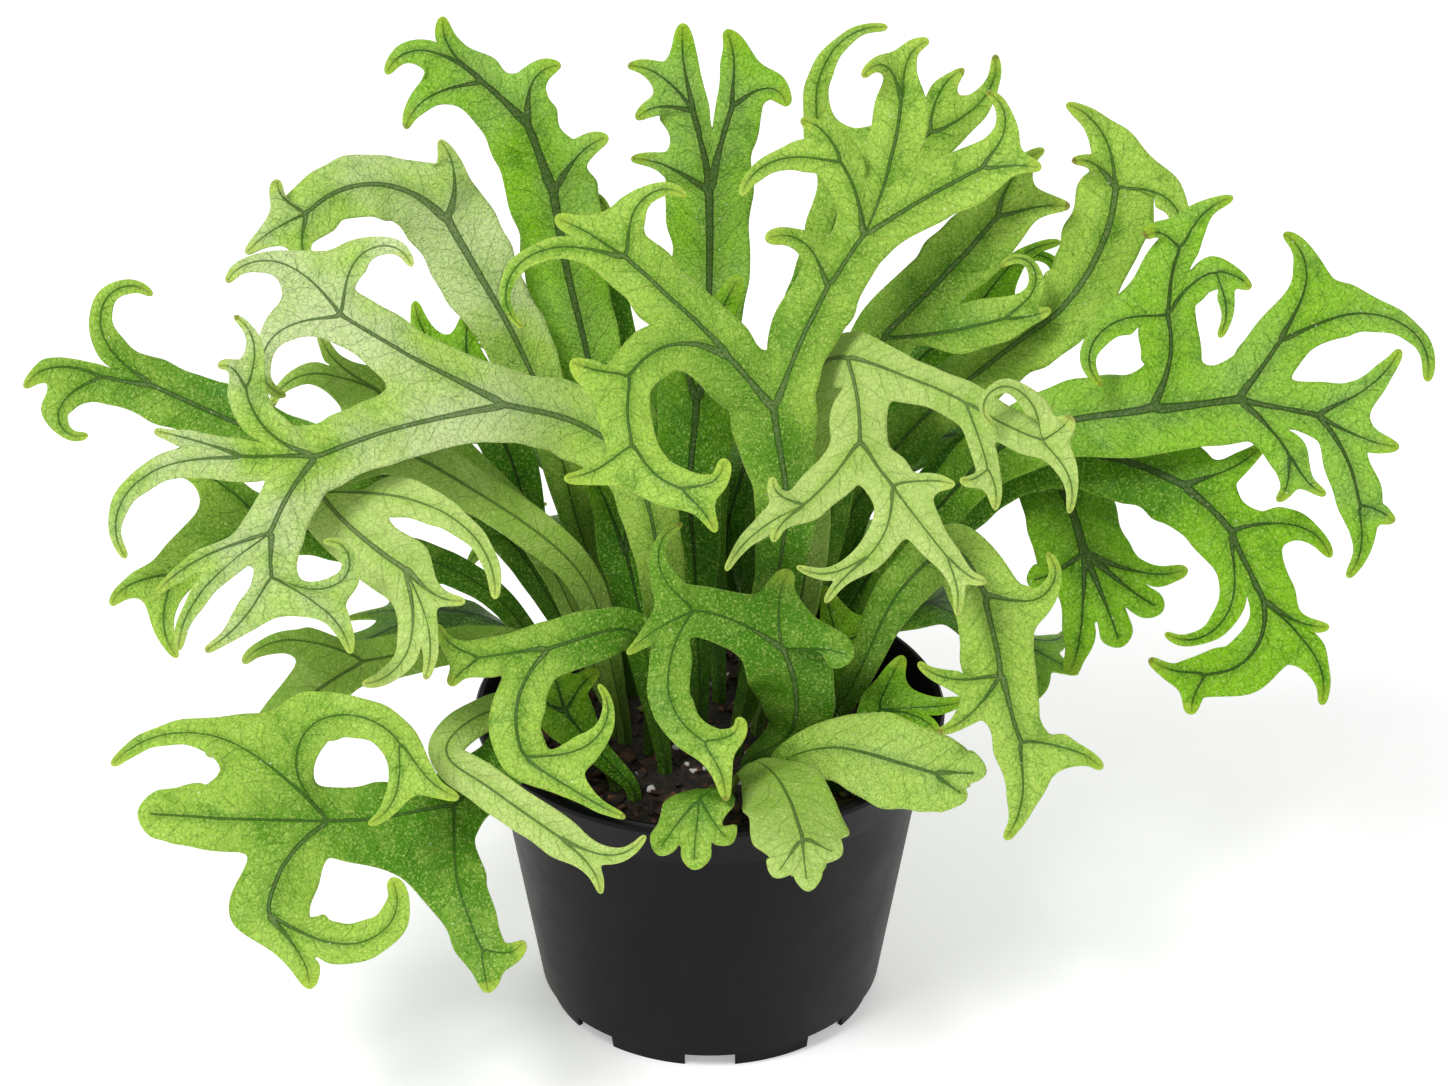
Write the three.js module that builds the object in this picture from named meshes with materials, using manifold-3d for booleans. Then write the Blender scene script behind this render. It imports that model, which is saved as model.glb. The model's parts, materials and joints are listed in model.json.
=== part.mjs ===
// A potted firework fern: a black nursery pot, its bark soil, and forked strap fronds with curled tips.
// Millimetres, +Z up. The origin is the centre of the pot's foot ring, on the surface that it stands on,
// until the whole is centred at the end. +X is the plant's right and -Y its front.
import * as THREE from "three";
import { mergeVertices } from "three/addons/utils/BufferGeometryUtils.js";
import Module from "manifold-3d";

const wasm = await Module();
wasm.setup();

// Pot
const POT_LIP_RADIUS = 75;
const POT_FOOT_RADIUS = 54.5;
const POT_HEIGHT = 104;
const POT_WALL = 1.6;
const COLLAR_HEIGHT = 15;
const COLLAR_STEP = 2.2; // how far the collar stands out of the tapered wall
const COLLAR_DRAFT = 1.4; // and how much wider the lip is than the collar's foot
const COLLAR_EDGE = 0.8; // height of the slope under the collar
const COLLAR_INSIDE = 2; // how far below the collar's foot its inside starts
const LIP = [[0.9, 4], [0, 2.6], [0, 1], [0.8, 0], [2, 0], [2.8, 1]]; // inwards and down from the lip's edge
const FLOOR_Z = 7; // underside of the raised floor
const FOOT_HEIGHT = 5.5;
const FOOT_INSET = 1.8;
const FOOT_EDGE = 0.6; // height of the slope over the foot
const FOOT_DRAFT = 1; // how much the foot's inside leans in
const NOTCH_COUNT = 8;
const NOTCH_WIDTH = 16;
const NOTCH_HEIGHT = 4.2;
const NOTCH_DEPTH = 30;
const DRAIN_RADIUS = 4.5;
const DRAIN_CIRCLE = 29;
const DRAIN_SIDES = 12;
const POT_SIDES = 48;

// Soil
const SOIL_Z = 91;
const SOIL_RELIEF = 1.6;
const SOIL_DISH = 1.5; // how much lower the soil lies at the wall
const SOIL_SHOULDER = 1; // height of the soil's bevelled rim
const SOIL_SPREAD = 1.02; // how far the rings of its surface are spread
const COARSE_BUMPS = [9.1, 8.3]; // their wavelengths along x and y, in millimetres to a radian
const COARSE_PHASE = [1.2, 0.4];
const COARSE_SHARE = 0.65;
const FINE_BUMPS = [4.3, 5.1];
const SOIL_RINGS = 5;
const SOIL_SIDES = 30;
const CHIP_COUNT = 30;
const CHIP_SIZE = [3.4, 6.2];
const CHIP_BREADTH = [0.55, 0.85]; // as a share of its size
const CHIP_THICKNESS = 0.45;
const CHIP_TILT = 24; // degrees between the most that chips tilt either way
const CHIP_SPARE = 1; // between a chip and a hole
const CHIP_INSET = 9; // between a chip's middle and the soil's edge
const SEAT_GAP = 0.35; // between soil and pot
const TOP_SPARE = 0.5; // further room for the soil at its surface
const FLOOR_SPARE = 0.3; // and at the pot's floor
const HOLE_RADIUS = 3.2; // plain holes that the stems stand in
const HOLE_SIDES = 8;
const HOLE_SPARE = 1.2; // how much deeper a hole is than its stem

// Frond blades
const BLADE_EDGE = 0.8; // thickness at the margin
const RIB_ROOT = 3.2; // thickness over the vein, at the foot of the stem
const RIB_BLADE = 1.7; // and where the blade is full grown
const RIB_RISE = 0.3; // the least that a rib stands above the margin's thickness
const FULL_HALF_WIDTH = 9; // half width of a blade whose rib is full
const STEM_HALF_WIDTH = 2.2;
const STEM_SINK = 12; // how deep a stem stands in the soil
const COLLAR_LIFT = 4; // how high a stem rises straight out of it
const STEM_STEP = 18; // spacing of a stem's cross rows
const ROW_STEP = 13; // spacing of the cross rows
const ROW_TURN = 42; // most degrees of turn between two rows
const NEIGHBOUR_SHARE = 0.46; // of the way between two veins that one blade may fill
const HOOK_GROWTH = 2; // how much tighter a lobe winds towards its tip
const HOOK_TURN = 1.2; // and how much farther a tip winds than its lobe was drawn
const WEB_SHARE = 1.7; // neighbouring lobes part where their veins are this many half widths apart
const WEB_LIMIT = 0.6; // and at the latest this far along the shorter one
const WEB_TRIES = 40;
const BEARING_PROBE = 0.35; // how far along a lobe the side it goes to is read
const FOLD_LIMIT = 0.78; // how much of the inside of a bend a margin may fill
const LONE_START = 0.2; // how far along a lone lobe its first row lies
const AHEAD = 1.5; // least distance from a parent's last row to the next
const AHEAD_SPARE = 1; // beyond a parent's margins that need not be kept
const NARROWING = 0.9; // step by which a first row is narrowed to keep it
const TIP_TAPER = 1.1; // above 1 for a tip that narrows early
const TIP_LENGTH = [0.9, 1.2]; // of the last triangle: as a share of the half width, and at least
const MARGIN_PERIOD = 6.5; // millimetres of blade to a radian of ripple
const SIDE_SHIFT = 1.3; // radians between the ripples of the two margins
const SHOULDER_PULL = 0.11; // how far the outside of a fork bulges
const SWELL_STEP = 2.4; // radians of swell from row to row
const MARGIN_WAVE = 0.09; // swell of the half width along a blade
const EDGE_RIPPLE = 0.16; // lift and fall of the margins, as a share of the half width
const RIPPLE_SHIFT = 0.9; // radians between the ripples of one frond and the next
const CUP = 0.1; // how far the margins fall behind the vein, as a share of the half width

// The drawing board that the fronds are laid out on: it leans back by BOARD_TILT, faces a viewer
// EYE_DISTANCE away, and passes BOARD_Z above the origin. A point is [right, up, out towards the viewer].
const BOARD_TILT = 29;
const BOARD_Z = 162;
const BOARD_SHIFT = 4.5;
const EYE_DISTANCE = 1300;

const radians = THREE.MathUtils.degToRad;
const vec = (x, y, z) => new THREE.Vector3(x, y, z);
const clamp = THREE.MathUtils.clamp;
const lerp = THREE.MathUtils.lerp;

// A board turned about the plant's upright axis by azimuth degrees, leaning back by lean degrees.
function board(azimuth, lean) {
  const tilt = radians(lean);
  const spin = (v) => v.applyAxisAngle(vec(0, 0, 1), radians(azimuth));
  const toViewer = spin(vec(0, -Math.cos(tilt), Math.sin(tilt)));
  const up = spin(vec(0, Math.sin(tilt), Math.cos(tilt)));
  const right = spin(vec(1, 0, 0));
  const origin = vec(0, 0, BOARD_Z);
  const eye = origin.clone().addScaledVector(right, BOARD_SHIFT).addScaledVector(toViewer, EYE_DISTANCE);
  const place = ([r, u, out]) =>
    origin.clone().addScaledVector(right, r).addScaledVector(up, u).lerp(eye, out / EYE_DISTANCE);
  return { toViewer, up, right, place };
}

// Fronds. Each is { name, azimuth, root: [x, y] in the soil, facing: [right, up, out] of the blade's face,
// stem: [[right, up, out, half width], ...], lobes }. A lobe is
// [right, up, out, degrees of turn (left is positive), half width at its start, at its end, [lobes]].
const FRONDS = [
  {
    name: "frond_far_left", root: [-31, 11],
    stem: [[-70, 8, -12, 5], [-120, 26, -10, 7], [-156, 41, -8, 10], [-174, 49, -8, 10]],
    lobes: [
      [-174, 77, -2, -170, 7.5, 1.2],
      [-190, 52, -6, 5, 9, 8, [[-214, 48, 2, 80, 6.5, 1.2], [-194, 34, 2, 160, 7, 1.2]]],
    ],
  },
  {
    name: "frond_big_left", root: [-19, -10],
    stem: [[-14, -20, 8, 5], [-24, 24, 18, 8], [-40, 37, 22, 10.5], [-64, 43, 32, 12]],
    lobes: [
      [-115, 71, 44, -6, 9, 8.5, [
        [-93, 86, 50, -140, 7, 1.2],
        [-151, 81, 52, 100, 8, 1.2],
        [-132, 46, 44, 145, 6, 1.2],
      ]],
      [-123, 27, 52, 12, 9, 10.5, [
        [-145, 48, 58, -70, 6.5, 6, [[-149, 71, 62, 80, 4.5, 1], [-154, 55, 64, 80, 3.2, 1]]],
        [-146, 27, 58, 5, 7, 7.5, [[-174, 35, 64, 10, 5.5, 1.2], [-182, -5, 66, 110, 7, 1.2]]],
        [-137, 3, 60, 25, 9, 10, [
          [-173, -16, 68, 30, 6, 1.2],
          [-166, -34, 72, 45, 6, 1.2],
          [-137, -11, 64, 12, 8.5, 8, [
            [-158, -34, 72, -25, 6, 1.2],
            [-112, -35, 72, -45, 6.5, 1.2],
            [-121, 0, 62, 195, 6, 1],
          ]],
        ]],
      ]],
    ],
  },
  {
    name: "frond_fork_centre", root: [8, -10],
    stem: [[20, -18, 6, 6], [24, 12, 26, 9], [20, 42, 38, 13]],
    lobes: [
      [6, 58, 46, 8, 11, 12, [
        [-26, 89, 40, 5, 10, 9, [
          [-7, 108, 44, -115, 6.5, 1],
          [-49, 102, 42, 10, 6.5, 2.2],
          [-58, 67, 48, 140, 5.5, 1],
        ]],
        [-25, 52, 56, 95, 8, 7.5, [
          [-44, 57, 60, -10, 5, 1.6],
          [-24, 31, 62, 25, 7, 7, [
            [-46, 20, 66, -30, 3.6, 1.6],
            [-9, 17, 68, 50, 6.5, 6, [[4, 27, 70, 95, 4, 1.8], [2, 3, 72, -20, 4, 1]]],
          ]],
        ]],
      ]],
      [37, 80, 40, -8, 10, 10, [
        [17, 94, 48, 95, 5, 2.4],
        [48, 96, 36, -4, 9, 9.5, [
          [41, 119, 40, 35, 6.5, 7.5, [[28, 132, 46, 60, 5, 1.2], [10, 108, 48, 75, 6, 1.4]]],
          [60, 138, 30, 18, 8.5, 8, [[48, 145, 42, 125, 5, 1.2], [69, 157, 34, -70, 6, 1.2]]],
          [85, 117, 30, -8, 9, 8.5, [[86, 141, 34, 100, 6, 1.2], [104, 117, 36, -15, 5, 1.2]]],
        ]],
      ]],
    ],
  },
  {
    name: "frond_arch_left", root: [-25, 24],
    stem: [[-40, 2, -38, 4], [-50, 40, -30, 7], [-63, 68, -24, 11], [-82, 101, -20, 14]],
    lobes: [
      [-126, 103, -4, 95, 12, 9, [
        [-135, 114, 2, -60, 4.5, 1.2],
        [-145, 90, 2, 25, 6, 1.2],
        [-123, 86, 2, 60, 5, 1.2],
      ]],
      [-85, 126, -12, 60, 7, 1.2],
    ],
  },
  {
    name: "frond_top_left", tone: "deep", root: [-12, 25],
    stem: [[-22, 0, -50, 4], [-38, 58, -42, 8], [-45, 88, -38, 12], [-49, 110, -35, 15]],
    lobes: [
      [-57, 131, -31, 6, 13, 14, [
        [-71, 144, -27, 10, 13, 11, [
          [-83, 165, -22, -60, 10, 1.6],
          [-101, 146, -20, 100, 9, 1.4],
          [-95, 129, -22, 60, 7, 1.2],
        ]],
        [-46, 149, -28, -90, 10, 1.4],
      ]],
      [-31, 127, -34, -40, 6.5, 2],
    ],
  },
  {
    name: "frond_top_curl", root: [-6, 13],
    stem: [[-14, 8, -56, 4], [-28, 62, -58, 6], [-36, 96, -56, 7]],
    lobes: [[-33, 102, -48, -225, 6, 1], [-45, 113, -54, 30, 4, 1]],
  },
  {
    name: "frond_top_centre", tone: "deep", root: [3, 22],
    stem: [[0, 20, -60, 5], [0, 78, -46, 10], [0, 110, -38, 14.5]],
    lobes: [
      [-25, 120, -32, 30, 6.5, 1.2],
      [-5, 135, -30, 12, 11, 11, [
        [-8, 163, -24, -20, 9.5, 1.8],
        [-26, 149, -24, 50, 7, 1.2],
        [-23, 132, -26, 60, 6, 1.2],
      ]],
      [7, 136, -30, -12, 11, 10, [[5, 161, -24, 25, 8.5, 1.8], [24, 136, -22, -110, 9, 1.4]]],
    ],
  },
  {
    name: "frond_high_right", root: [11, 28],
    stem: [[18, 20, -54, 5], [32, 76, -38, 8], [42, 108, -30, 9]],
    lobes: [
      [56, 161, -18, -105, 7, 1.4],
      [69, 128, -18, -10, 9, 9, [[80, 148, -10, -60, 7, 1.2], [89, 153, -6, 70, 7.5, 1.2]]],
    ],
  },
  {
    name: "frond_behind_right", root: [18, 12],
    stem: [[34, -10, -28, 4], [42, 30, -12, 7], [54, 64, 0, 10]],
    lobes: [
      [90, 102, 10, 6, 11, 10.5, [[105, 123, 16, -50, 8, 1.2], [113, 105, 16, -20, 7, 1.2]]],
      [92, 70, 8, 14, 9, 7, [[91, 86, 16, 180, 4.5, 1], [107, 73, 12, 20, 5, 1.2]]],
    ],
  },
  {
    name: "frond_strap_right", root: [20, 19],
    stem: [[40, 2, -38, 4], [60, 32, -30, 7], [86, 55, -14, 10], [108, 71, 2, 11.5]],
    lobes: [
      [127, 111, 10, 40, 12, 12, [
        [111, 137, 18, 60, 9, 1.4],
        [113, 119, 20, 60, 4, 1.2],
        [139, 92, 16, -160, 7, 1.2],
      ]],
    ],
  },
  {
    name: "frond_far_right", tone: "deep", root: [34, -7],
    stem: [[54, -14, -16, 4], [74, 14, -2, 7], [98, 34, 6, 11], [138, 42, 14, 14]],
    lobes: [
      [143, 71, 18, 50, 9.5, 9, [
        [123, 49, 24, 125, 7, 1.2],
        [147, 92, 22, -15, 8.5, 7, [[164, 108, 26, -45, 6, 1.2], [136, 95, 26, 90, 3.2, 1.2]]],
        [158, 85, 20, -50, 7, 5.5, [[169, 79, 24, -50, 4, 1.2], [159, 64, 24, -50, 3.2, 1.2]]],
      ]],
      [165, 45, 16, 4, 13, 13, [
        [178, 63, 18, 12, 11, 9, [[179, 97, 24, 80, 8, 1.4], [224, 50, 22, -115, 9.5, 1.4]]],
        [190, 40, 18, 8, 10, 10.5, [
          [216, 61, 24, 35, 7, 1.4],
          [216, 30, 24, 25, 6, 1.4],
          [203, 12, 22, -40, 8.5, 7, [[199, -11, 26, -45, 5.5, 1.2], [214, 6, 26, -40, 5, 1.2]]],
        ]],
        [181, 28, 20, -25, 8, 6.5, [[177, 13, 24, -50, 4.5, 1.2], [193, 15, 24, 40, 4, 1.2]]],
      ]],
    ],
  },
  {
    name: "frond_low_right", tone: "deep", root: [38, 4],
    stem: [[54, -23, -24, 4], [76, 9, -17, 7], [104, 29, -9, 11], [128, 26, -2, 13]],
    lobes: [
      [148, 18, 4, -15, 13, 13, [
        [174, 32, 8, 30, 6.5, 1.4],
        [163, 4, 8, -20, 11.5, 12, [
          [194, -5, 14, -80, 8, 1.4],
          [173, -18, 12, 8, 10, 10.5, [
            [191, -51, 18, -60, 7.5, 1.4],
            [194, -26, 18, 40, 5.5, 1.2],
            [155, -41, 16, -110, 8, 7, [[137, -36, 20, -30, 5, 1.2], [151, -54, 20, 40, 5.5, 1.4]]],
          ]],
          [142, -28, 14, -115, 7.5, 1.2],
        ]],
      ]],
    ],
  },
  {
    name: "frond_hanging_right", tone: "deep", root: [30, 14],
    stem: [[46, -16, -40, 4], [72, 16, -32, 7], [98, 30, -24, 11], [112, 13, -18, 13.5], [117, -3, -13, 15]],
    lobes: [
      [112, -42, -4, -20, 11, 2.6],
      [129, -34, -5, -5, 9, 5],
      [143, -22, -7, 10, 9, 5],
      [150, -8, -8, 40, 7, 2],
      [98, -12, -10, -30, 8, 4],
    ],
  },
  {
    name: "frond_pale_right", tone: "pale", root: [15, 1],
    stem: [[28, -22, -6, 4], [31, 16, 8, 6], [32, 45, 17, 7.5], [36, 57, 25, 8], [43, 58, 33, 9]],
    lobes: [
      [47, 32, 44, -20, 8, 8.5, [
        [30, 12, 52, -15, 7, 6, [[5, -9, 60, 35, 5, 1], [20, 21, 58, -80, 3, 1], [20, 0, 60, 40, 3, 1]]],
        [57, 18, 50, 10, 7.5, 7.5, [
          [50, -4, 56, -50, 5.5, 4.5, [[27, -7, 62, -60, 3.5, 1], [36, -19, 62, 20, 3, 1]]],
          [74, -4, 54, 5, 5, 4.5, [[87, -12, 60, 40, 3.5, 1], [77, -23, 60, -35, 3, 1]]],
          [77, 18, 52, -30, 4.5, 1],
        ]],
      ]],
      [80, 44, 42, -10, 7, 6.5, [
        [87, 23, 46, -10, 4.5, 3.5, [[89, 10, 52, -40, 3, 1], [78, 20, 52, -50, 2.6, 1]]],
        [104, 32, 48, 15, 6, 5.5, [
          [89, 37, 54, 205, 4, 1],
          [112, 9, 54, -60, 4, 1],
          [113, 40, 54, 30, 3, 1],
        ]],
      ]],
    ],
  },
  {
    name: "frond_drooping_right", root: [30, -20],
    stem: [[46, -42, 2, 4], [60, -14, 16, 6], [77, -2, 24, 9], [86, -16, 30, 10.5]],
    lobes: [
      [105, -3, 42, 135, 7.5, 1.2],
      [91, -41, 34, -6, 10.5, 11, [
        [65, -37, 42, -50, 4.5, 1.2],
        [71, -59, 42, -40, 5.5, 1.2],
        [97, -62, 38, 8, 9.5, 9, [[92, -93, 42, -40, 8.5, 1.4], [123, -71, 44, -40, 7, 1.4]]],
      ]],
    ],
  },
  {
    name: "frond_ring_front", root: [11, -21],
    stem: [[25, -60, 0, 8], [27, -45, 16, 13], [23, -33, 24, 13]],
    lobes: [
      [-5, -21, 34, 30, 9, 8, [
        [-8, 6, 42, -110, 5.5, 1],
        [-26, -35, 42, 20, 4, 1],
        [-13, -46, 38, 45, 7, 6.5, [
          [-2, -62, 44, 50, 6.5, 5.5, [[9, -54, 48, 90, 4.5, 1.2], [5, -81, 50, -30, 5, 1.2]]],
        ]],
      ]],
      [26, -8, 32, -45, 8, 2.5],
      [46, -36, 32, -15, 8, 4],
    ],
  },
  {
    name: "leaf_broad_right", root: [18, -31],
    stem: [[25, -67, 9, 5], [39, -64, 20, 10.5], [54, -67, 27, 14], [70, -72, 32, 13]],
    lobes: [[89, -72, 36, 10, 10, 8], [82, -81, 36, -10, 10, 8]],
  },
  {
    name: "leaf_rim_right", tone: "deep", root: [38, -31],
    stem: [[44, -68, 0, 4], [53, -52, 6, 7]],
    lobes: [[61, -35, 8, -20, 6, 1.4], [81, -49, 14, 15, 5.5, 1.2], [72, -61, 16, -50, 4.5, 1.4]],
  },
  {
    name: "leaf_broad_front", tone: "pale", root: [6, -37], facing: [0, 0.65, 0.75],
    stem: [[14, -69, 18, 7], [23, -76, 38, 13], [29, -92, 54, 15.5]],
    lobes: [[19, -106, 58, -12, 9, 6], [31, -111, 60, 5, 9, 7], [43, -98, 58, 20, 9, 6]],
  },
  {
    name: "leaf_small_front", root: [-3, -45], facing: [0, 0.8, 0.6],
    stem: [[2, -77, 24, 5], [-3, -80, 43, 11]],
    lobes: [[-17, -99, 48, 10, 8.5, 5.5], [-5, -104, 49, 5, 8.5, 6], [8, -95, 48, 20, 7.5, 5]],
  },
  {
    name: "frond_strap_rim", tone: "pale", root: [-29, -31],
    stem: [[-48, -50, 6, 4], [-72, -54, 20, 5], [-83, -66, 34, 6], [-68, -77, 42, 6], [-47, -92, 46, 6.5]],
    lobes: [[-20, -91, 52, 80, 5, 1], [-34, -110, 50, -45, 5.5, 1]],
  },
  {
    name: "frond_low_left", root: [-33, -18],
    stem: [[-54, -52, 4, 5], [-66, -70, 18, 8], [-80, -82, 28, 11]],
    lobes: [
      [-119, -87, 38, -8, 11, 11, [
        [-97, -62, 56, -200, 7.5, 6, [[-107, -88, 62, -65, 5.5, 1.2], [-78, -80, 62, 30, 5.5, 1.2]]],
        [-187, -70, 50, 85, 10.5, 1.4],
        [-181, -84, 48, -5, 13, 7],
        [-138, -116, 46, 60, 12, 12.5, [[-100, -104, 52, 135, 11, 2.5], [-125, -140, 52, -40, 11, 2]]],
      ]],
      [-71, -127, 42, 30, 10.5, 7, [[-69, -141, 46, 10, 5.5, 1.4], [-58, -124, 48, 70, 5.5, 1.2]]],
    ],
  },
  {
    name: "frond_grey_left", tone: "pale", root: [-38, 1],
    stem: [[-58, -32, -12, 4], [-86, -33, 4, 6], [-108, -37, 12, 7]],
    lobes: [
      [-146, -38, 20, 70, 7.5, 1.4],
      [-134, -57, 18, 25, 9, 8, [[-124, -80, 24, 60, 6, 1.2], [-158, -66, 24, -10, 6.5, 1.4]]],
    ],
  },
  {
    name: "frond_pale_left", tone: "pale", root: [-27, -3],
    stem: [[-40, -10, 0, 4], [-70, 14, 12, 6], [-99, 29, 24, 7], [-117, 26, 32, 8], [-122, 16, 36, 8.5]],
    lobes: [
      [-95, -8, 44, 20, 9.5, 10.5, [
        [-76, -18, 50, 50, 6, 1.2],
        [-89, -43, 52, -40, 5.5, 1.2],
        [-109, -44, 52, -90, 8.5, 1.2],
      ]],
      [-67, -18, 46, -80, 9, 1.4],
    ],
  },
  {
    name: "frond_under_arch", tone: "deep", root: [-33, 20],
    stem: [[-52, -10, -28, 4], [-62, 26, -24, 7], [-75, 50, -28, 9]],
    lobes: [[-92, 76, -34, -40, 8, 1.4], [-73, 75, -34, -30, 7, 1.2], [-99, 59, -34, 40, 7, 1.2]],
  },
  {
    name: "frond_behind_left", root: [-42, 8],
    stem: [[-70, -14, -10, 4], [-108, 0, 10, 6], [-140, 6, 26, 9]],
    lobes: [
      [-176, 20, 38, 75, 7.5, 1.4],
      [-168, -10, 40, 20, 8, 7, [[-187, -20, 46, 60, 5.5, 1.2], [-166, -36, 46, 50, 5.5, 1.2]]],
    ],
  },
  {
    name: "frond_pale_behind", tone: "pale", root: [-30, 3],
    stem: [[-56, 4, -12, 4], [-88, 34, -2, 6], [-103, 47, 8, 8]],
    lobes: [[-137, 42, 16, 90, 6.5, 1.2], [-128, 28, 14, -80, 6.5, 1.2], [-122, 66, 12, -40, 5, 1.2]],
  },
  {
    name: "frond_spiral", tone: "deep", root: [25, 31],
    stem: [[36, 20, -46, 4], [62, 54, -42, 6], [82, 70, -38, 7]],
    lobes: [[96, 86, -36, 215, 5.5, 1], [110, 94, -34, -50, 6.5, 1.2]],
  },
  {
    name: "leaf_dark_left", tone: "deep", root: [-23, -37],
    stem: [[-36, -64, 8, 4], [-45, -53, 16, 9]],
    lobes: [[-50, -33, 20, -10, 8, 1.8], [-34, -40, 18, -40, 7, 1.4], [-61, -47, 20, 20, 6.5, 1.4]],
  },
  {
    name: "leaf_dark_right", tone: "deep", root: [28, 3],
    stem: [[35, -46, -14, 4], [41, -31, -9, 7]],
    lobes: [[36, -13, -5, -20, 6, 1.4], [55, -24, -5, 20, 7, 1.4]],
  },
  {
    name: "frond_shade_centre", tone: "deep", root: [-3, 2],
    stem: [[-4, -20, -26, 5], [-6, 20, -24, 10], [-4, 44, -24, 13]],
    lobes: [[-16, 76, -26, 15, 10, 2.4], [10, 84, -26, -20, 11, 2.4]],
  },
  {
    name: "frond_shade_left", tone: "deep", root: [-12, 2],
    stem: [[-20, -28, -26, 5], [-26, -4, -24, 9]],
    lobes: [[-42, 28, -24, 20, 9, 2], [-24, 34, -24, -15, 9, 2]],
  },
  {
    name: "frond_ring_left", root: [-14, -23],
    stem: [[-18, -48, 2, 4], [-24, -27, 22, 7], [-50, -33, 32, 9]],
    lobes: [
      [-72, -36, 36, 0, 6.5, 6, [[-85, -25, 42, -50, 4, 1], [-81, -45, 42, 25, 4, 1]]],
      [-58, -67, 38, 75, 8.5, 7.5, [[-35, -44, 46, 115, 6.5, 1], [-26, -86, 48, 10, 5, 1]]],
    ],
  },
];

// Hidden fronds of the plant's back and flanks, grown by rule: azimuth that they arch out to, root, where
// the first fork is (aside, away from the axis, above the ground), climb of the blade there in degrees, hand.
const BACK_FRONDS = [
  { name: "frond_back_left_low", azimuth: -110, root: [-46, 16], fork: [14, 90, 128], climb: -12, hand: 1 },
  { name: "frond_back_left", azimuth: -138, root: [-38, 33], fork: [0, 84, 168], climb: 26, hand: -1 },
  { name: "frond_back_left_inner", azimuth: -162, root: [-18, 46], fork: [8, 84, 126], climb: -8, hand: 1 },
  { name: "frond_back_centre", azimuth: 178, root: [15, 48], fork: [-12, 86, 156], climb: 16, hand: -1 },
  { name: "frond_back_right_inner", azimuth: 154, root: [24, 44], fork: [-8, 84, 124], climb: -10, hand: -1 },
  { name: "frond_back_right", azimuth: 132, root: [43, 34], fork: [2, 88, 166], climb: 24, hand: 1 },
  { name: "frond_back_right_low", azimuth: 114, root: [49, 14], fork: [-10, 74, 128], climb: -12, hand: -1 },
];

function frondByRule({ name, azimuth, root, fork, climb, hand }) {
  const lean = climb - 90; // the board lies in the blade, its back upwards
  const onBoard = ([aside, away, z]) => [
    aside,
    (z - BOARD_Z) * Math.cos(radians(lean)) - away * Math.sin(radians(lean)),
    (z - BOARD_Z) * Math.sin(radians(lean)) + away * Math.cos(radians(lean)),
  ];
  const [aside, away, z] = fork;
  const [r, u, out] = onBoard(fork);
  const from = (side, forward, sag) => [r + side * hand, u + forward, out + sag];
  return {
    name, tone: "deep", azimuth, lean, root, facing: [0, 0, -1],
    stem: [
      [...onBoard([aside * 0.3, 0.45 * away + 18, SOIL_Z + 0.6 * (z - SOIL_Z)]), 4.5],
      [...onBoard([aside * 0.7, 0.72 * away + 8, SOIL_Z + 0.92 * (z - SOIL_Z)]), 7.5],
      [r, u, out, 11],
    ],
    lobes: [
      [...from(22, 20, 2), 10 * hand, 9, 8.5, [
        [...from(48, 14, 12), -70 * hand, 7, 1.2],
        [...from(36, 40, 8), 10 * hand, 6, 1.4],
        [...from(10, 47, 6), 60 * hand, 6.5, 1.2],
      ]],
      [...from(2, 32, 2), -20 * hand, 6, 1.4],
      [...from(-22, 20, 2), 30 * hand, 9, 8.5, [
        [...from(-33, 41, 6), -60 * hand, 6, 1.2],
        [...from(-48, 12, 14), 50 * hand, 7, 1.2],
      ]],
    ],
  };
}

// A smooth way through space.
class Path {
  constructor(points) {
    this.points = points;
    this.at = [0];
    for (let i = 1; i < points.length; i++) {
      this.at.push(this.at[i - 1] + points[i].distanceTo(points[i - 1]));
    }
    this.length = this.at[this.at.length - 1];
  }

  point(distance) {
    const d = clamp(distance, 0, this.length);
    let i = 1;
    while (i < this.at.length - 1 && this.at[i] < d) i++;
    const share = (d - this.at[i - 1]) / (this.at[i] - this.at[i - 1]);
    return this.points[i - 1].clone().lerp(this.points[i], share);
  }

  tangent(distance) {
    const h = this.length / 40;
    const before = this.point(Math.max(0, distance - h));
    return this.point(Math.min(this.length, distance + h)).sub(before).normalize();
  }
}

// A lobe's vein: from start to end, turning by turnDegrees about the line of sight. A growth above 1 turns
// later and tighter, as a hook does.
function windingPath(start, end, turnDegrees, growth, toViewer) {
  const STEPS = 32;
  const flat = [[0, 0]];
  for (let i = 0; i < STEPS; i++) {
    const heading = radians(turnDegrees) * Math.pow((i + 0.5) / STEPS, growth);
    const [x, y] = flat[i];
    flat.push([x + Math.cos(heading), y + Math.sin(heading)]);
  }
  const [endX, endY] = flat[STEPS];
  const span = endX * endX + endY * endY;
  const chord = end.clone().sub(start);
  const left = toViewer.clone().cross(chord).normalize().multiplyScalar(chord.length());
  return new Path(flat.map(([x, y]) => {
    const forward = (x * endX + y * endY) / span;
    const sideways = (y * endX - x * endY) / span;
    return start.clone().addScaledVector(chord, forward).addScaledVector(left, sideways);
  }));
}

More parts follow.
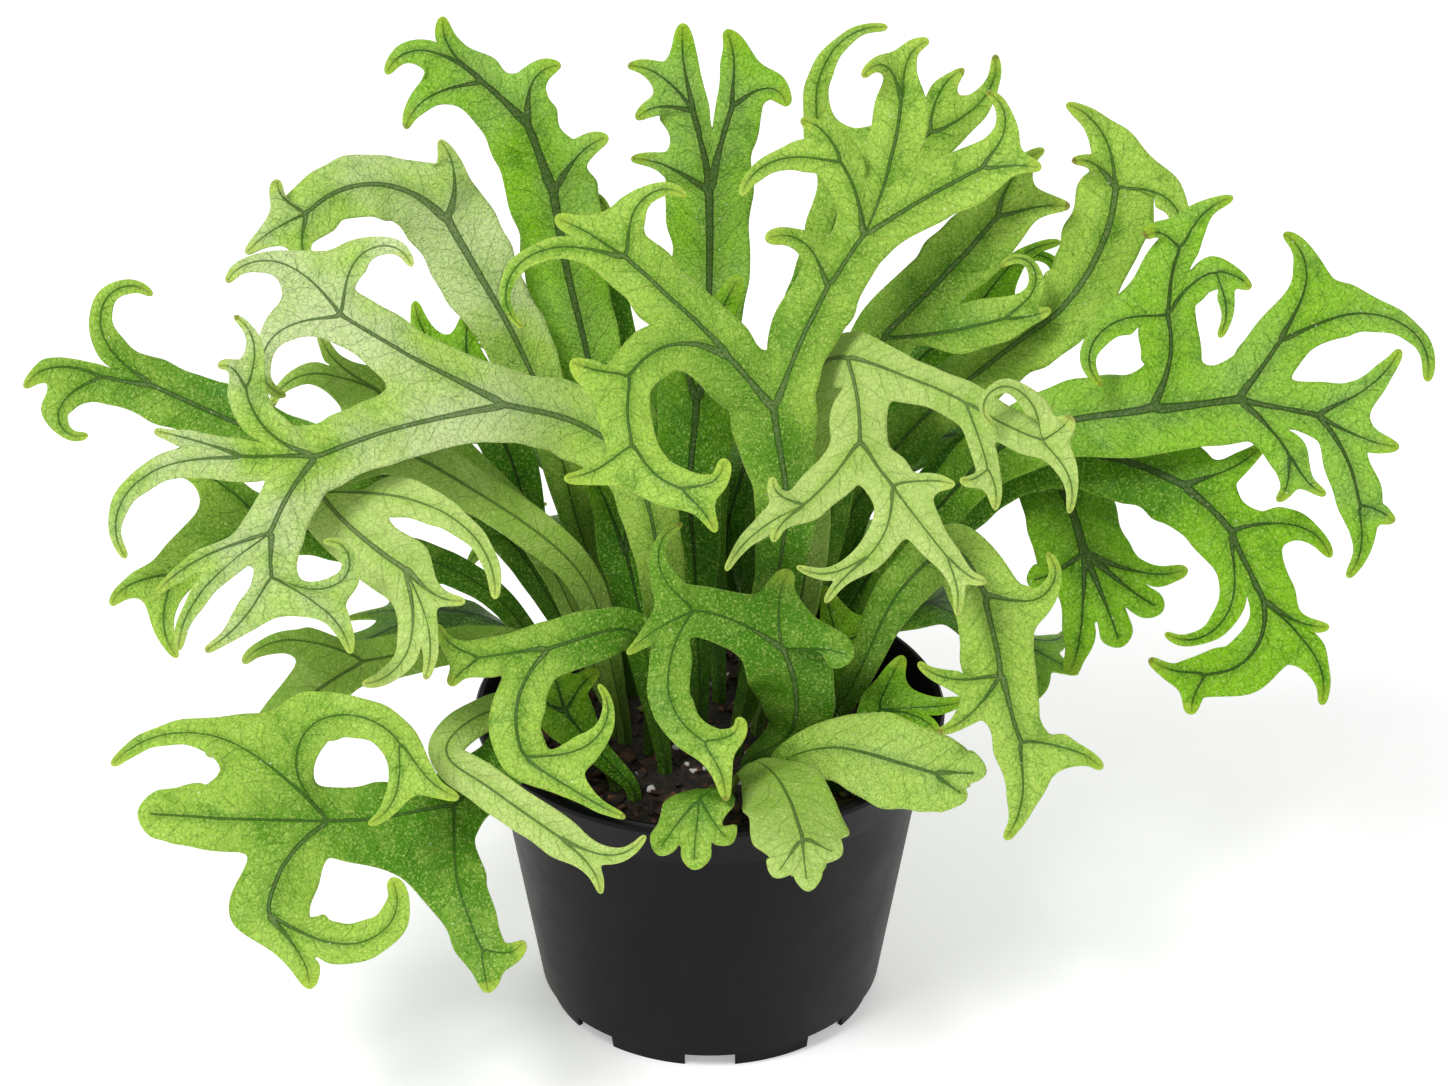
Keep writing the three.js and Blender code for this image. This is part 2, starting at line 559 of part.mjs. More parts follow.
// A thin closed blade, built row by row. A row holds three points: left margin, vein and right margin.
// Both faces carry the same triangles.
class Blade {
  constructor(facing, phase) {
    this.facing = facing;
    this.phase = phase;
    this.positions = [];
    this.triangles = [];
  }

  // A point of the blade, as the vertex on its face and the one on its back.
  vertex(point, normal, thickness) {
    const index = this.positions.length / 3;
    for (const side of [0.5, -0.5]) {
      const p = point.clone().addScaledVector(normal, side * thickness);
      this.positions.push(p.x, p.y, p.z);
    }
    return index;
  }

  // The middle of the blade at a vertex.
  middle(index) {
    const face = vec(0, 0, 0).fromArray(this.positions, 3 * index);
    return face.lerp(vec(0, 0, 0).fromArray(this.positions, 3 * index + 3), 0.5);
  }

  skin(a, b, c) {
    this.triangles.push(a, b, c, a + 1, c + 1, b + 1);
  }

  // The margin between face and back, with the blade to the left of the way from a to b.
  wall(a, b) {
    this.triangles.push(a, a + 1, b, b, a + 1, b + 1);
  }

  frame(path, distance) {
    const point = path.point(distance);
    const along = path.tangent(distance);
    const normal = this.facing.clone().addScaledVector(along, -this.facing.dot(along)).normalize();
    return { point, along, normal, left: normal.clone().cross(along) };
  }

  // How far a margin may stand out on the inside of a hook before it would fold over itself.
  insideRoom(path, distance) {
    const h = path.length / 20;
    const before = this.frame(path, distance - h);
    const after = this.frame(path, distance + h);
    const bend = Math.asin(clamp(before.left.dot(after.along), -1, 1));
    return { room: (FOLD_LIMIT * 2 * h) / Math.max(1e-6, Math.abs(bend)), isLeft: bend > 0 };
  }

  marginPoint(f, side, halfWidth, distance) {
    const ripple = Math.sin(distance / MARGIN_PERIOD + this.phase + side * SIDE_SHIFT);
    const fall = halfWidth * (EDGE_RIPPLE * ripple - CUP);
    return f.point.clone().addScaledVector(f.left, side * halfWidth).addScaledVector(f.normal, fall);
  }

  // A cross row. The room on either side can be limited, so that it stays clear of a neighbour.
  row(path, distance, halfWidth, rib, leftRoom = halfWidth, rightRoom = halfWidth) {
    const f = this.frame(path, distance);
    const { room, isLeft } = this.insideRoom(path, distance);
    const leftWidth = Math.min(halfWidth, leftRoom, isLeft ? room : halfWidth);
    const rightWidth = Math.min(halfWidth, rightRoom, isLeft ? halfWidth : room);
    const left = this.marginPoint(f, 1, leftWidth, distance);
    const right = this.marginPoint(f, -1, rightWidth, distance);
    return {
      left: this.vertex(left, f.normal, BLADE_EDGE),
      mid: this.vertex(f.point, f.normal, rib),
      right: this.vertex(right, f.normal, BLADE_EDGE),
    };
  }

  join(a, b) {
    this.skin(a.left, a.mid, b.mid);
    this.skin(a.left, b.mid, b.left);
    this.skin(a.mid, a.right, b.right);
    this.skin(a.mid, b.right, b.mid);
    this.wall(b.left, a.left);
    this.wall(a.right, b.right);
  }

  apex(row, path) {
    const f = this.frame(path, path.length);
    const tip = this.vertex(f.point, f.normal, BLADE_EDGE);
    this.skin(row.left, row.mid, tip);
    this.skin(row.mid, row.right, tip);
    this.wall(tip, row.left);
    this.wall(row.right, tip);
  }

  geometry() {
    const made = new THREE.BufferGeometry();
    made.setAttribute("position", new THREE.Float32BufferAttribute(this.positions, 3));
    made.setIndex(this.triangles);
    return made;
  }
}

const ribAt = (halfWidth) =>
  clamp(RIB_BLADE * Math.sqrt(halfWidth / FULL_HALF_WIDTH), BLADE_EDGE + RIB_RISE, RIB_BLADE);

// The distance along two sibling lobes at which their inner margins part.
function partingDistance(blade, a, b) {
  const most = WEB_LIMIT * Math.min(a.path.length, b.path.length);
  const step = most / WEB_TRIES;
  let d = step;
  while (d < most) {
    const fa = blade.frame(a.path, d);
    const fb = blade.frame(b.path, d);
    const across = fa.left.clone().add(fb.left).normalize();
    const apart = fa.point.clone().sub(fb.point).dot(across);
    if (apart > WEB_SHARE * (a.widthAt(d) + b.widthAt(d))) break;
    d += step;
  }
  return d;
}

function crotch(blade, a, b, distance) {
  const fa = blade.frame(a.path, distance);
  const fb = blade.frame(b.path, distance);
  const edgeA = fa.point.addScaledVector(fa.left, -a.widthAt(distance));
  const edgeB = fb.point.addScaledVector(fb.left, b.widthAt(distance));
  return blade.vertex(edgeA.lerp(edgeB, 0.5), fa.normal.add(fb.normal).normalize(), BLADE_EDGE);
}

// Half the way from a lobe's vein to its neighbour's, which neither blade may pass.
function roomBeside(shoot, neighbour, distance) {
  if (!neighbour) return Infinity;
  const between = shoot.path.point(distance).distanceTo(neighbour.path.point(distance));
  return NEIGHBOUR_SHARE * between;
}

// A margin point half way round the outside of a fork.
function shoulder(blade, from, to, shoot, distance, heading) {
  const start = blade.middle(from);
  const end = blade.middle(to);
  const pull = SHOULDER_PULL * start.distanceTo(end);
  const point = start.lerp(end, 0.5)
    .addScaledVector(heading, pull)
    .addScaledVector(shoot.path.tangent(distance), -pull);
  return blade.vertex(point, blade.frame(shoot.path, distance / 2).normal, BLADE_EDGE);
}

// How wide an outermost lobe's first row may be, to stay ahead of the parent's row.
function roomAhead(blade, path, distance, side, start, heading, left, parentHalf, halfWidth) {
  const f = blade.frame(path, distance);
  let width = halfWidth;
  while (width > 1) {
    const edge = f.point.clone().addScaledVector(f.left, side * width).sub(start);
    if (edge.dot(heading) > AHEAD || Math.abs(edge.dot(left)) > parentHalf + AHEAD_SPARE) break;
    width *= NARROWING;
  }
  return width;
}

// The fork from a parent row into lobes, and all that grows from it.
function fork(blade, page, parent, parentHalf, start, heading, lobes) {
  const left = blade.facing.clone().cross(heading).normalize();
  const shoots = lobes.map(([r, u, out, turn, startWidth, endWidth, children = []]) => {
    const isTip = children.length === 0;
    const growth = isTip ? HOOK_GROWTH : 1;
    const winding = isTip ? HOOK_TURN * turn : turn;
    const path = windingPath(start, page.place([r, u, out]), winding, growth, page.toViewer);
    const widthAt = (d) => {
      const rest = 1 - clamp(d / path.length, 0, 1);
      return endWidth + (startWidth - endWidth) * (isTip ? Math.pow(rest, TIP_TAPER) : rest);
    };
    const probe = path.point(BEARING_PROBE * path.length).sub(start);
    const bearing = Math.atan2(probe.dot(left), probe.dot(heading));
    return { path, children, turn: winding, endWidth, widthAt, isTip, bearing };
  });
  shoots.sort((a, b) => b.bearing - a.bearing);

  const partings = shoots.slice(1).map((shoot, i) => partingDistance(blade, shoots[i], shoot));
  const crotches = partings.map((d, i) => crotch(blade, shoots[i], shoots[i + 1], d));
  shoots.forEach((shoot, i) => {
    const near = [partings[i - 1], partings[i]].filter((d) => d !== undefined);
    const total = near.reduce((a, b) => a + b, 0);
    const begin = near.length ? total / near.length : LONE_START * shoot.path.length;
    shoot.clear = near.length ? Math.max(...near) : begin;
    shoot.rooms = (d) => [roomBeside(shoot, shoots[i - 1], d), roomBeside(shoot, shoots[i + 1], d)];
    const halfWidth = shoot.widthAt(begin);
    const ahead = (side) =>
      roomAhead(blade, shoot.path, begin, side, start, heading, left, parentHalf, halfWidth);
    const row = blade.row(shoot.path, begin, halfWidth, ribAt(halfWidth), ahead(1), ahead(-1));
    if (i > 0) row.left = crotches[i - 1];
    if (i < shoots.length - 1) row.right = crotches[i];
    shoot.first = row;
    shoot.begin = begin;
  });

  const leftmost = shoots[0];
  const rightmost = shoots[shoots.length - 1];
  const first = leftmost.first;
  const last = rightmost.first;
  const leftBulge = shoulder(blade, parent.left, first.left, leftmost, leftmost.begin, heading);
  const rightBulge = shoulder(blade, parent.right, last.right, rightmost, rightmost.begin, heading);
  blade.skin(parent.left, parent.mid, first.mid);
  blade.skin(parent.left, first.mid, leftBulge);
  blade.skin(leftBulge, first.mid, first.left);
  blade.wall(first.left, leftBulge);
  blade.wall(leftBulge, parent.left);
  crotches.forEach((between, i) => {
    blade.skin(parent.mid, between, shoots[i].first.mid);
    blade.skin(parent.mid, shoots[i + 1].first.mid, between);
  });
  blade.skin(parent.mid, parent.right, last.mid);
  blade.skin(parent.right, rightBulge, last.mid);
  blade.skin(rightBulge, last.right, last.mid);
  blade.wall(parent.right, rightBulge);
  blade.wall(rightBulge, last.right);
  for (const shoot of shoots) extend(blade, page, shoot);
}

// The rest of a lobe, from its first row to its own fork or tip.
function extend(blade, page, { path, children, turn, endWidth, widthAt, isTip, first, clear, rooms }) {
  const stop = path.length - (isTip ? Math.max(TIP_LENGTH[0] * endWidth, TIP_LENGTH[1]) : 0);
  const start = Math.min(clear, stop - 0.1);
  const rest = stop - start;
  const turned = (Math.abs(turn) * rest) / path.length;
  const steps = Math.max(1, Math.round(rest / ROW_STEP), Math.ceil(turned / ROW_TURN));
  let row = first;
  for (let i = 1; i <= steps; i++) {
    const d = start + (rest * i) / steps;
    const wave = i < steps ? 1 + MARGIN_WAVE * Math.sin(SWELL_STEP * i + blade.phase) : 1;
    const next = blade.row(path, d, widthAt(d) * wave, ribAt(widthAt(d)), ...rooms(d));
    blade.join(row, next);
    row = next;
  }
  if (isTip) blade.apex(row, path);
  else fork(blade, page, row, endWidth, path.point(path.length), path.tangent(path.length), children);
}

function frondGeometry(plan, phase) {
  const { azimuth = 0, lean = BOARD_TILT, root, facing = [0, 0.2, 1], stem, lobes } = plan;
  const page = board(azimuth, lean);
  const face = page.right.clone().multiplyScalar(facing[0])
    .addScaledVector(page.up, facing[1])
    .addScaledVector(page.toViewer, facing[2])
    .normalize();
  const blade = new Blade(face, phase);
  const foot = vec(root[0], root[1], SOIL_Z - STEM_SINK);
  const collar = vec(root[0], root[1], SOIL_Z + COLLAR_LIFT);
  const knots = [collar, ...stem.map((knot) => page.place(knot))];
  const curve = new THREE.CatmullRomCurve3(knots, false, "centripetal");
  const path = new Path([foot, ...curve.getPoints(28)]);
  const sink = foot.distanceTo(collar);
  const grown = path.length - sink;
  const widths = [STEM_HALF_WIDTH, ...stem.map((knot) => knot[3])];
  const risen = (d) => clamp((d - sink) / grown, 0, 1);
  const widthAt = (d) => {
    const t = risen(d) * (widths.length - 1);
    const i = Math.min(widths.length - 2, Math.floor(t));
    return lerp(widths[i], widths[i + 1], t - i);
  };
  const bottom = blade.row(path, 0, STEM_HALF_WIDTH, RIB_ROOT);
  let row = blade.row(path, sink, STEM_HALF_WIDTH, RIB_ROOT);
  blade.join(bottom, row);
  blade.wall(bottom.left, bottom.mid);
  blade.wall(bottom.mid, bottom.right);
  const steps = Math.max(3, Math.round(grown / STEM_STEP));
  for (let i = 1; i <= steps; i++) {
    const d = sink + (grown * i) / steps;
    const wave = i < steps ? 1 + MARGIN_WAVE * risen(d) * Math.sin(SWELL_STEP * i + phase) : 1;
    const next = blade.row(path, d, widthAt(d) * wave, lerp(RIB_ROOT, RIB_BLADE, Math.sqrt(risen(d))));
    blade.join(row, next);
    row = next;
  }
  fork(blade, page, row, widths.at(-1), path.point(path.length), path.tangent(path.length), lobes);
  return blade.geometry();
}

// Solids that are cut or joined
function solid(geometry) {
  const bare = new THREE.BufferGeometry();
  bare.setAttribute("position", geometry.getAttribute("position"));
  if (geometry.index) bare.setIndex(geometry.index);
  const merged = mergeVertices(bare, 1e-4);
  return new wasm.Manifold(new wasm.Mesh({
    numProp: 3,
    vertProperties: new Float32Array(merged.getAttribute("position").array),
    triVerts: new Uint32Array(merged.index.array),
  }));
}

function geometryOf(body) {
  const mesh = body.getMesh();
  const made = new THREE.BufferGeometry();
  made.setAttribute("position", new THREE.Float32BufferAttribute(mesh.vertProperties, 3));
  made.setIndex(new THREE.Uint32BufferAttribute(mesh.triVerts, 1));
  return made;
}

// A cylinder about the upright axis, centred on the ground.
function uprightCylinder(radius, height, sides) {
  return new THREE.CylinderGeometry(radius, radius, height, sides).rotateX(Math.PI / 2);
}

// A closed turned body from [radius, z] points that start and end on the axis, bottom first.
function turned(profile, sides) {
  const lathe = new THREE.LatheGeometry(profile.map(([r, z]) => new THREE.Vector2(Math.max(r, 0), z)), sides);
  return lathe.rotateX(Math.PI / 2);
}

const wallRadius = (z) =>
  lerp(POT_FOOT_RADIUS, POT_LIP_RADIUS - COLLAR_STEP - COLLAR_DRAFT, z / POT_HEIGHT);

function potGeometry() {
  const collarZ = POT_HEIGHT - COLLAR_HEIGHT;
  const floorTop = FLOOR_Z + POT_WALL;
  const profile = [
    [0, FLOOR_Z],
    [wallRadius(FLOOR_Z) - FOOT_INSET - POT_WALL - FOOT_DRAFT, FLOOR_Z],
    [wallRadius(0) - FOOT_INSET - POT_WALL, 0],
    [wallRadius(0) - FOOT_INSET, 0],
    [wallRadius(FOOT_HEIGHT) - FOOT_INSET, FOOT_HEIGHT],
    [wallRadius(FOOT_HEIGHT + FOOT_EDGE), FOOT_HEIGHT + FOOT_EDGE],
    [wallRadius(collarZ - COLLAR_EDGE), collarZ - COLLAR_EDGE],
    [wallRadius(collarZ) + COLLAR_STEP, collarZ],
    ...LIP.map(([inwards, down]) => [POT_LIP_RADIUS - inwards, POT_HEIGHT - down]),
    [wallRadius(collarZ) - POT_WALL, collarZ - COLLAR_INSIDE],
    [wallRadius(floorTop) - POT_WALL, floorTop],
    [0, floorTop],
  ];
  let pot = solid(turned(profile, POT_SIDES));
  for (let i = 0; i < NOTCH_COUNT; i++) {
    const angle = (360 * i) / NOTCH_COUNT - 90;
    const notch = solid(new THREE.BoxGeometry(NOTCH_DEPTH, NOTCH_WIDTH, 2 * NOTCH_HEIGHT))
      .translate([POT_FOOT_RADIUS, 0, 0]).rotate([0, 0, angle]);
    pot = pot.subtract(notch);
    const drain = solid(uprightCylinder(DRAIN_RADIUS, 4 * POT_WALL, DRAIN_SIDES))
      .translate([DRAIN_CIRCLE, 0, FLOOR_Z]).rotate([0, 0, angle + 180 / NOTCH_COUNT]);
    pot = pot.subtract(drain);
  }
  return geometryOf(pot);
}

// Bumps of the soil's surface at a point.
function soilLift(x, y) {
  const along = Math.sin(x / COARSE_BUMPS[0] + COARSE_PHASE[0]);
  const coarse = along * Math.cos(y / COARSE_BUMPS[1] - COARSE_PHASE[1]);
  const fine = Math.sin(x / FINE_BUMPS[0] - y / FINE_BUMPS[1]);
  return SOIL_RELIEF * lerp(fine, coarse, COARSE_SHARE);
}

function soilGeometry(roots, random) {
  const floorZ = FLOOR_Z + POT_WALL + SEAT_GAP;
  const outer = wallRadius(SOIL_Z) - POT_WALL - SEAT_GAP - TOP_SPARE;
  const lower = wallRadius(floorZ) - POT_WALL - SEAT_GAP - FLOOR_SPARE;
  const profile = [[0, floorZ], [lower, floorZ], [outer, SOIL_Z - SOIL_SHOULDER]];
  for (let i = SOIL_RINGS - 1; i >= 0; i--) profile.push([(outer * i) / SOIL_RINGS * SOIL_SPREAD, SOIL_Z]);
  const heap = turned(profile, SOIL_SIDES);
  const points = heap.getAttribute("position");
  for (let i = 0; i < points.count; i++) {
    if (points.getZ(i) < SOIL_Z - SOIL_SHOULDER / 2) continue;
    const reach = Math.hypot(points.getX(i), points.getY(i)) / outer;
    points.setZ(i, SOIL_Z + soilLift(points.getX(i), points.getY(i)) - SOIL_DISH * reach * reach);
  }
  let soil = solid(heap);
  // Bark chips and pumice bits, half sunk into the surface and clear of the stems.
  let placed = 0;
  while (placed < CHIP_COUNT) {
    const angle = 2 * Math.PI * random();
    const reach = (outer - CHIP_INSET) * Math.sqrt(random());
    const x = reach * Math.cos(angle);
    const y = reach * Math.sin(angle);
    const size = lerp(...CHIP_SIZE, random());
    if (roots.some(([rx, ry]) => Math.hypot(x - rx, y - ry) < size + HOLE_RADIUS + CHIP_SPARE)) continue;
    const chip = solid(new THREE.OctahedronGeometry(1))
      .scale([size, size * lerp(...CHIP_BREADTH, random()), size * CHIP_THICKNESS])
      .rotate([CHIP_TILT * (random() - 0.5), CHIP_TILT * (random() - 0.5), 360 * random()])
      .translate([x, y, SOIL_Z + soilLift(x, y)]);
    soil = soil.add(chip);
    placed++;
  }
  for (const [x, y] of roots) {
    const depth = STEM_SINK + HOLE_SPARE;
    const hole = solid(uprightCylinder(HOLE_RADIUS, 2 * depth, HOLE_SIDES)).translate([x, y, SOIL_Z]);
    soil = soil.subtract(hole);
  }
  return geometryOf(soil);
}

// A repeatable random number between 0 and 1, drawn by a linear congruence.
function seeded(seed) {
  const MULTIPLIER = 1664525;
  const INCREMENT = 1013904223;
  const MODULUS = 4294967296;
  let state = seed;
  return () => {
    state = (state * MULTIPLIER + INCREMENT) % MODULUS;
    return state / MODULUS;
  };
}

// Materials
const plastic = new THREE.MeshStandardMaterial({ color: 0x252628, roughness: 0.45, metalness: 0 });
const bark = new THREE.MeshStandardMaterial({ color: 0x3a2a20, roughness: 0.95, metalness: 0 });
const leafOf = (color) => new THREE.MeshStandardMaterial({ color, roughness: 0.5, metalness: 0 });
const leaf = { fresh: leafOf(0x7da63c), deep: leafOf(0x4d8a2e), pale: leafOf(0xb9cf8a) };

const fern = new THREE.Group();
function addPiece(name, geometry, material) {
  const mesh = new THREE.Mesh(geometry, material);
  mesh.name = name;
  fern.add(mesh);
}

const plans = [...FRONDS, ...BACK_FRONDS.map(frondByRule)];
addPiece("pot", potGeometry(), plastic);
addPiece("soil", soilGeometry(plans.map((plan) => plan.root), seeded(7)), bark);
plans.forEach((plan, i) => {
  addPiece(plan.name, frondGeometry(plan, RIPPLE_SHIFT * i), leaf[plan.tone ?? "fresh"]);
});

// The whole is centred over the origin, standing on z = 0.
const box = new THREE.Box3().setFromObject(fern);
const middle = box.getCenter(new THREE.Vector3());
for (const piece of fern.children) piece.geometry.translate(-middle.x, -middle.y, -box.min.z);

export default fern;
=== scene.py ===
# %% [markdown]
# # A potted firework fern
#
# The plant stands in a round black nursery pot of bark soil. Its fronds are flat straps that fork again
# and again, and every lobe winds up into a hook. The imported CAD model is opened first, because it fixes
# where each piece is and how large. Everything made below sits in the same place and is only finer.

# %% Open the frame
import json
import math
import random

import bmesh
import bpy
from mathutils import Matrix, Vector

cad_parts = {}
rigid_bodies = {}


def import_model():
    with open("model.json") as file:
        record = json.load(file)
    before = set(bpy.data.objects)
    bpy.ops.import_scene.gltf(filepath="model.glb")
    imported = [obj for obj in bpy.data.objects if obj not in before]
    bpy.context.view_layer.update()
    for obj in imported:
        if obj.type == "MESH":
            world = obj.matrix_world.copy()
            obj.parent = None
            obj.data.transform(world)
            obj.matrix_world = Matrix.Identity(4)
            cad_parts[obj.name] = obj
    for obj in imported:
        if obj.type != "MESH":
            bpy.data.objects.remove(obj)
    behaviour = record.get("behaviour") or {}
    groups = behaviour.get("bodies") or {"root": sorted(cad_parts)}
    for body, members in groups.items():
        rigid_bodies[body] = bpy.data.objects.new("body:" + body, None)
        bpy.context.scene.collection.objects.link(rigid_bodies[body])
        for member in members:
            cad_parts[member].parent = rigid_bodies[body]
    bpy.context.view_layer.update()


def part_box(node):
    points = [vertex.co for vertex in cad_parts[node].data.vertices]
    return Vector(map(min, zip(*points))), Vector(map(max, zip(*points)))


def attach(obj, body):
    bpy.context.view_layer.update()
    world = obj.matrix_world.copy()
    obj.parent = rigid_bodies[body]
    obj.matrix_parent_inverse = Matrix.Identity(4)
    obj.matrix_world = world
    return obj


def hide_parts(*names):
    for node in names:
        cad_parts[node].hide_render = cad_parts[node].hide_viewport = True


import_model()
pot_low, pot_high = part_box("pot")
POT_CENTRE = Vector(((pot_low.x + pot_high.x) / 2, (pot_low.y + pot_high.y) / 2, pot_low.z))

# %% [markdown]
# The plant is drawn in millimetres from the centre of the pot's foot, and the frame is in metres from
# the middle of the whole plant. One function turns the first into the second, so that the numbers below
# stay easy to read.

# %% Millimetres to the frame
MM = 0.001


def to_frame(point):
    return POT_CENTRE + point * MM


def shaped(name, bm, material, smooth=True):
    """A finished bmesh as an object at the origin that rides with the plant."""
    mesh = bpy.data.meshes.new(name)
    bm.to_mesh(mesh)
    bm.free()
    if smooth:
        mesh.shade_smooth()
    piece = bpy.data.objects.new(name, mesh)
    bpy.context.scene.collection.objects.link(piece)
    mesh.materials.append(material)
    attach(piece, "root")
    return piece


# %% [markdown]
# A frond is easiest to lay out on a drawing board that leans back like an easel and faces a viewer. Each
# point on it is given as right, up and out towards the viewer. The hidden fronds at the back have boards
# of their own, turned about the plant's upright axis.

# %% The drawing board
BOARD_TILT = 29
BOARD_Z = 162
BOARD_SHIFT = 4.5
EYE_DISTANCE = 1300


class Board:
    def __init__(self, azimuth=0, lean=BOARD_TILT):
        tilt = math.radians(lean)
        turn = Matrix.Rotation(math.radians(azimuth), 3, "Z")
        self.to_viewer = turn @ Vector((0, -math.cos(tilt), math.sin(tilt)))
        self.up = turn @ Vector((0, math.sin(tilt), math.cos(tilt)))
        self.right = turn @ Vector((1, 0, 0))
        self.origin = Vector((0, 0, BOARD_Z))
        self.eye = self.origin + self.right * BOARD_SHIFT + self.to_viewer * EYE_DISTANCE

    def place(self, right, up, out):
        flat = self.origin + self.right * right + self.up * up
        return flat.lerp(self.eye, out / EYE_DISTANCE)


# %% [markdown]
# The camera stands where the board's viewer stands, so the front of the plant is seen as it was drawn.
# A long lens keeps the pot's sides from leaning.

# %% Camera
PHOTO_WIDTH = 1448
PIXELS_PER_MM = 3.2
SENSOR = 36
NEAR, FAR = 0.05, 20


def add_camera():
    easel = Board()
    lens = bpy.data.cameras.new("camera")
    lens.sensor_width = SENSOR
    lens.lens = SENSOR * EYE_DISTANCE * PIXELS_PER_MM / PHOTO_WIDTH
    lens.clip_start, lens.clip_end = NEAR, FAR
    camera = bpy.data.objects.new("camera", lens)
    camera.location = to_frame(easel.eye)
    camera.rotation_mode = "QUATERNION"
    camera.rotation_quaternion = (-easel.to_viewer).to_track_quat("-Z", "Y")
    bpy.context.scene.collection.objects.link(camera)
    bpy.context.scene.camera = camera
    print("lens", round(lens.lens, 1), "mm")


add_camera()
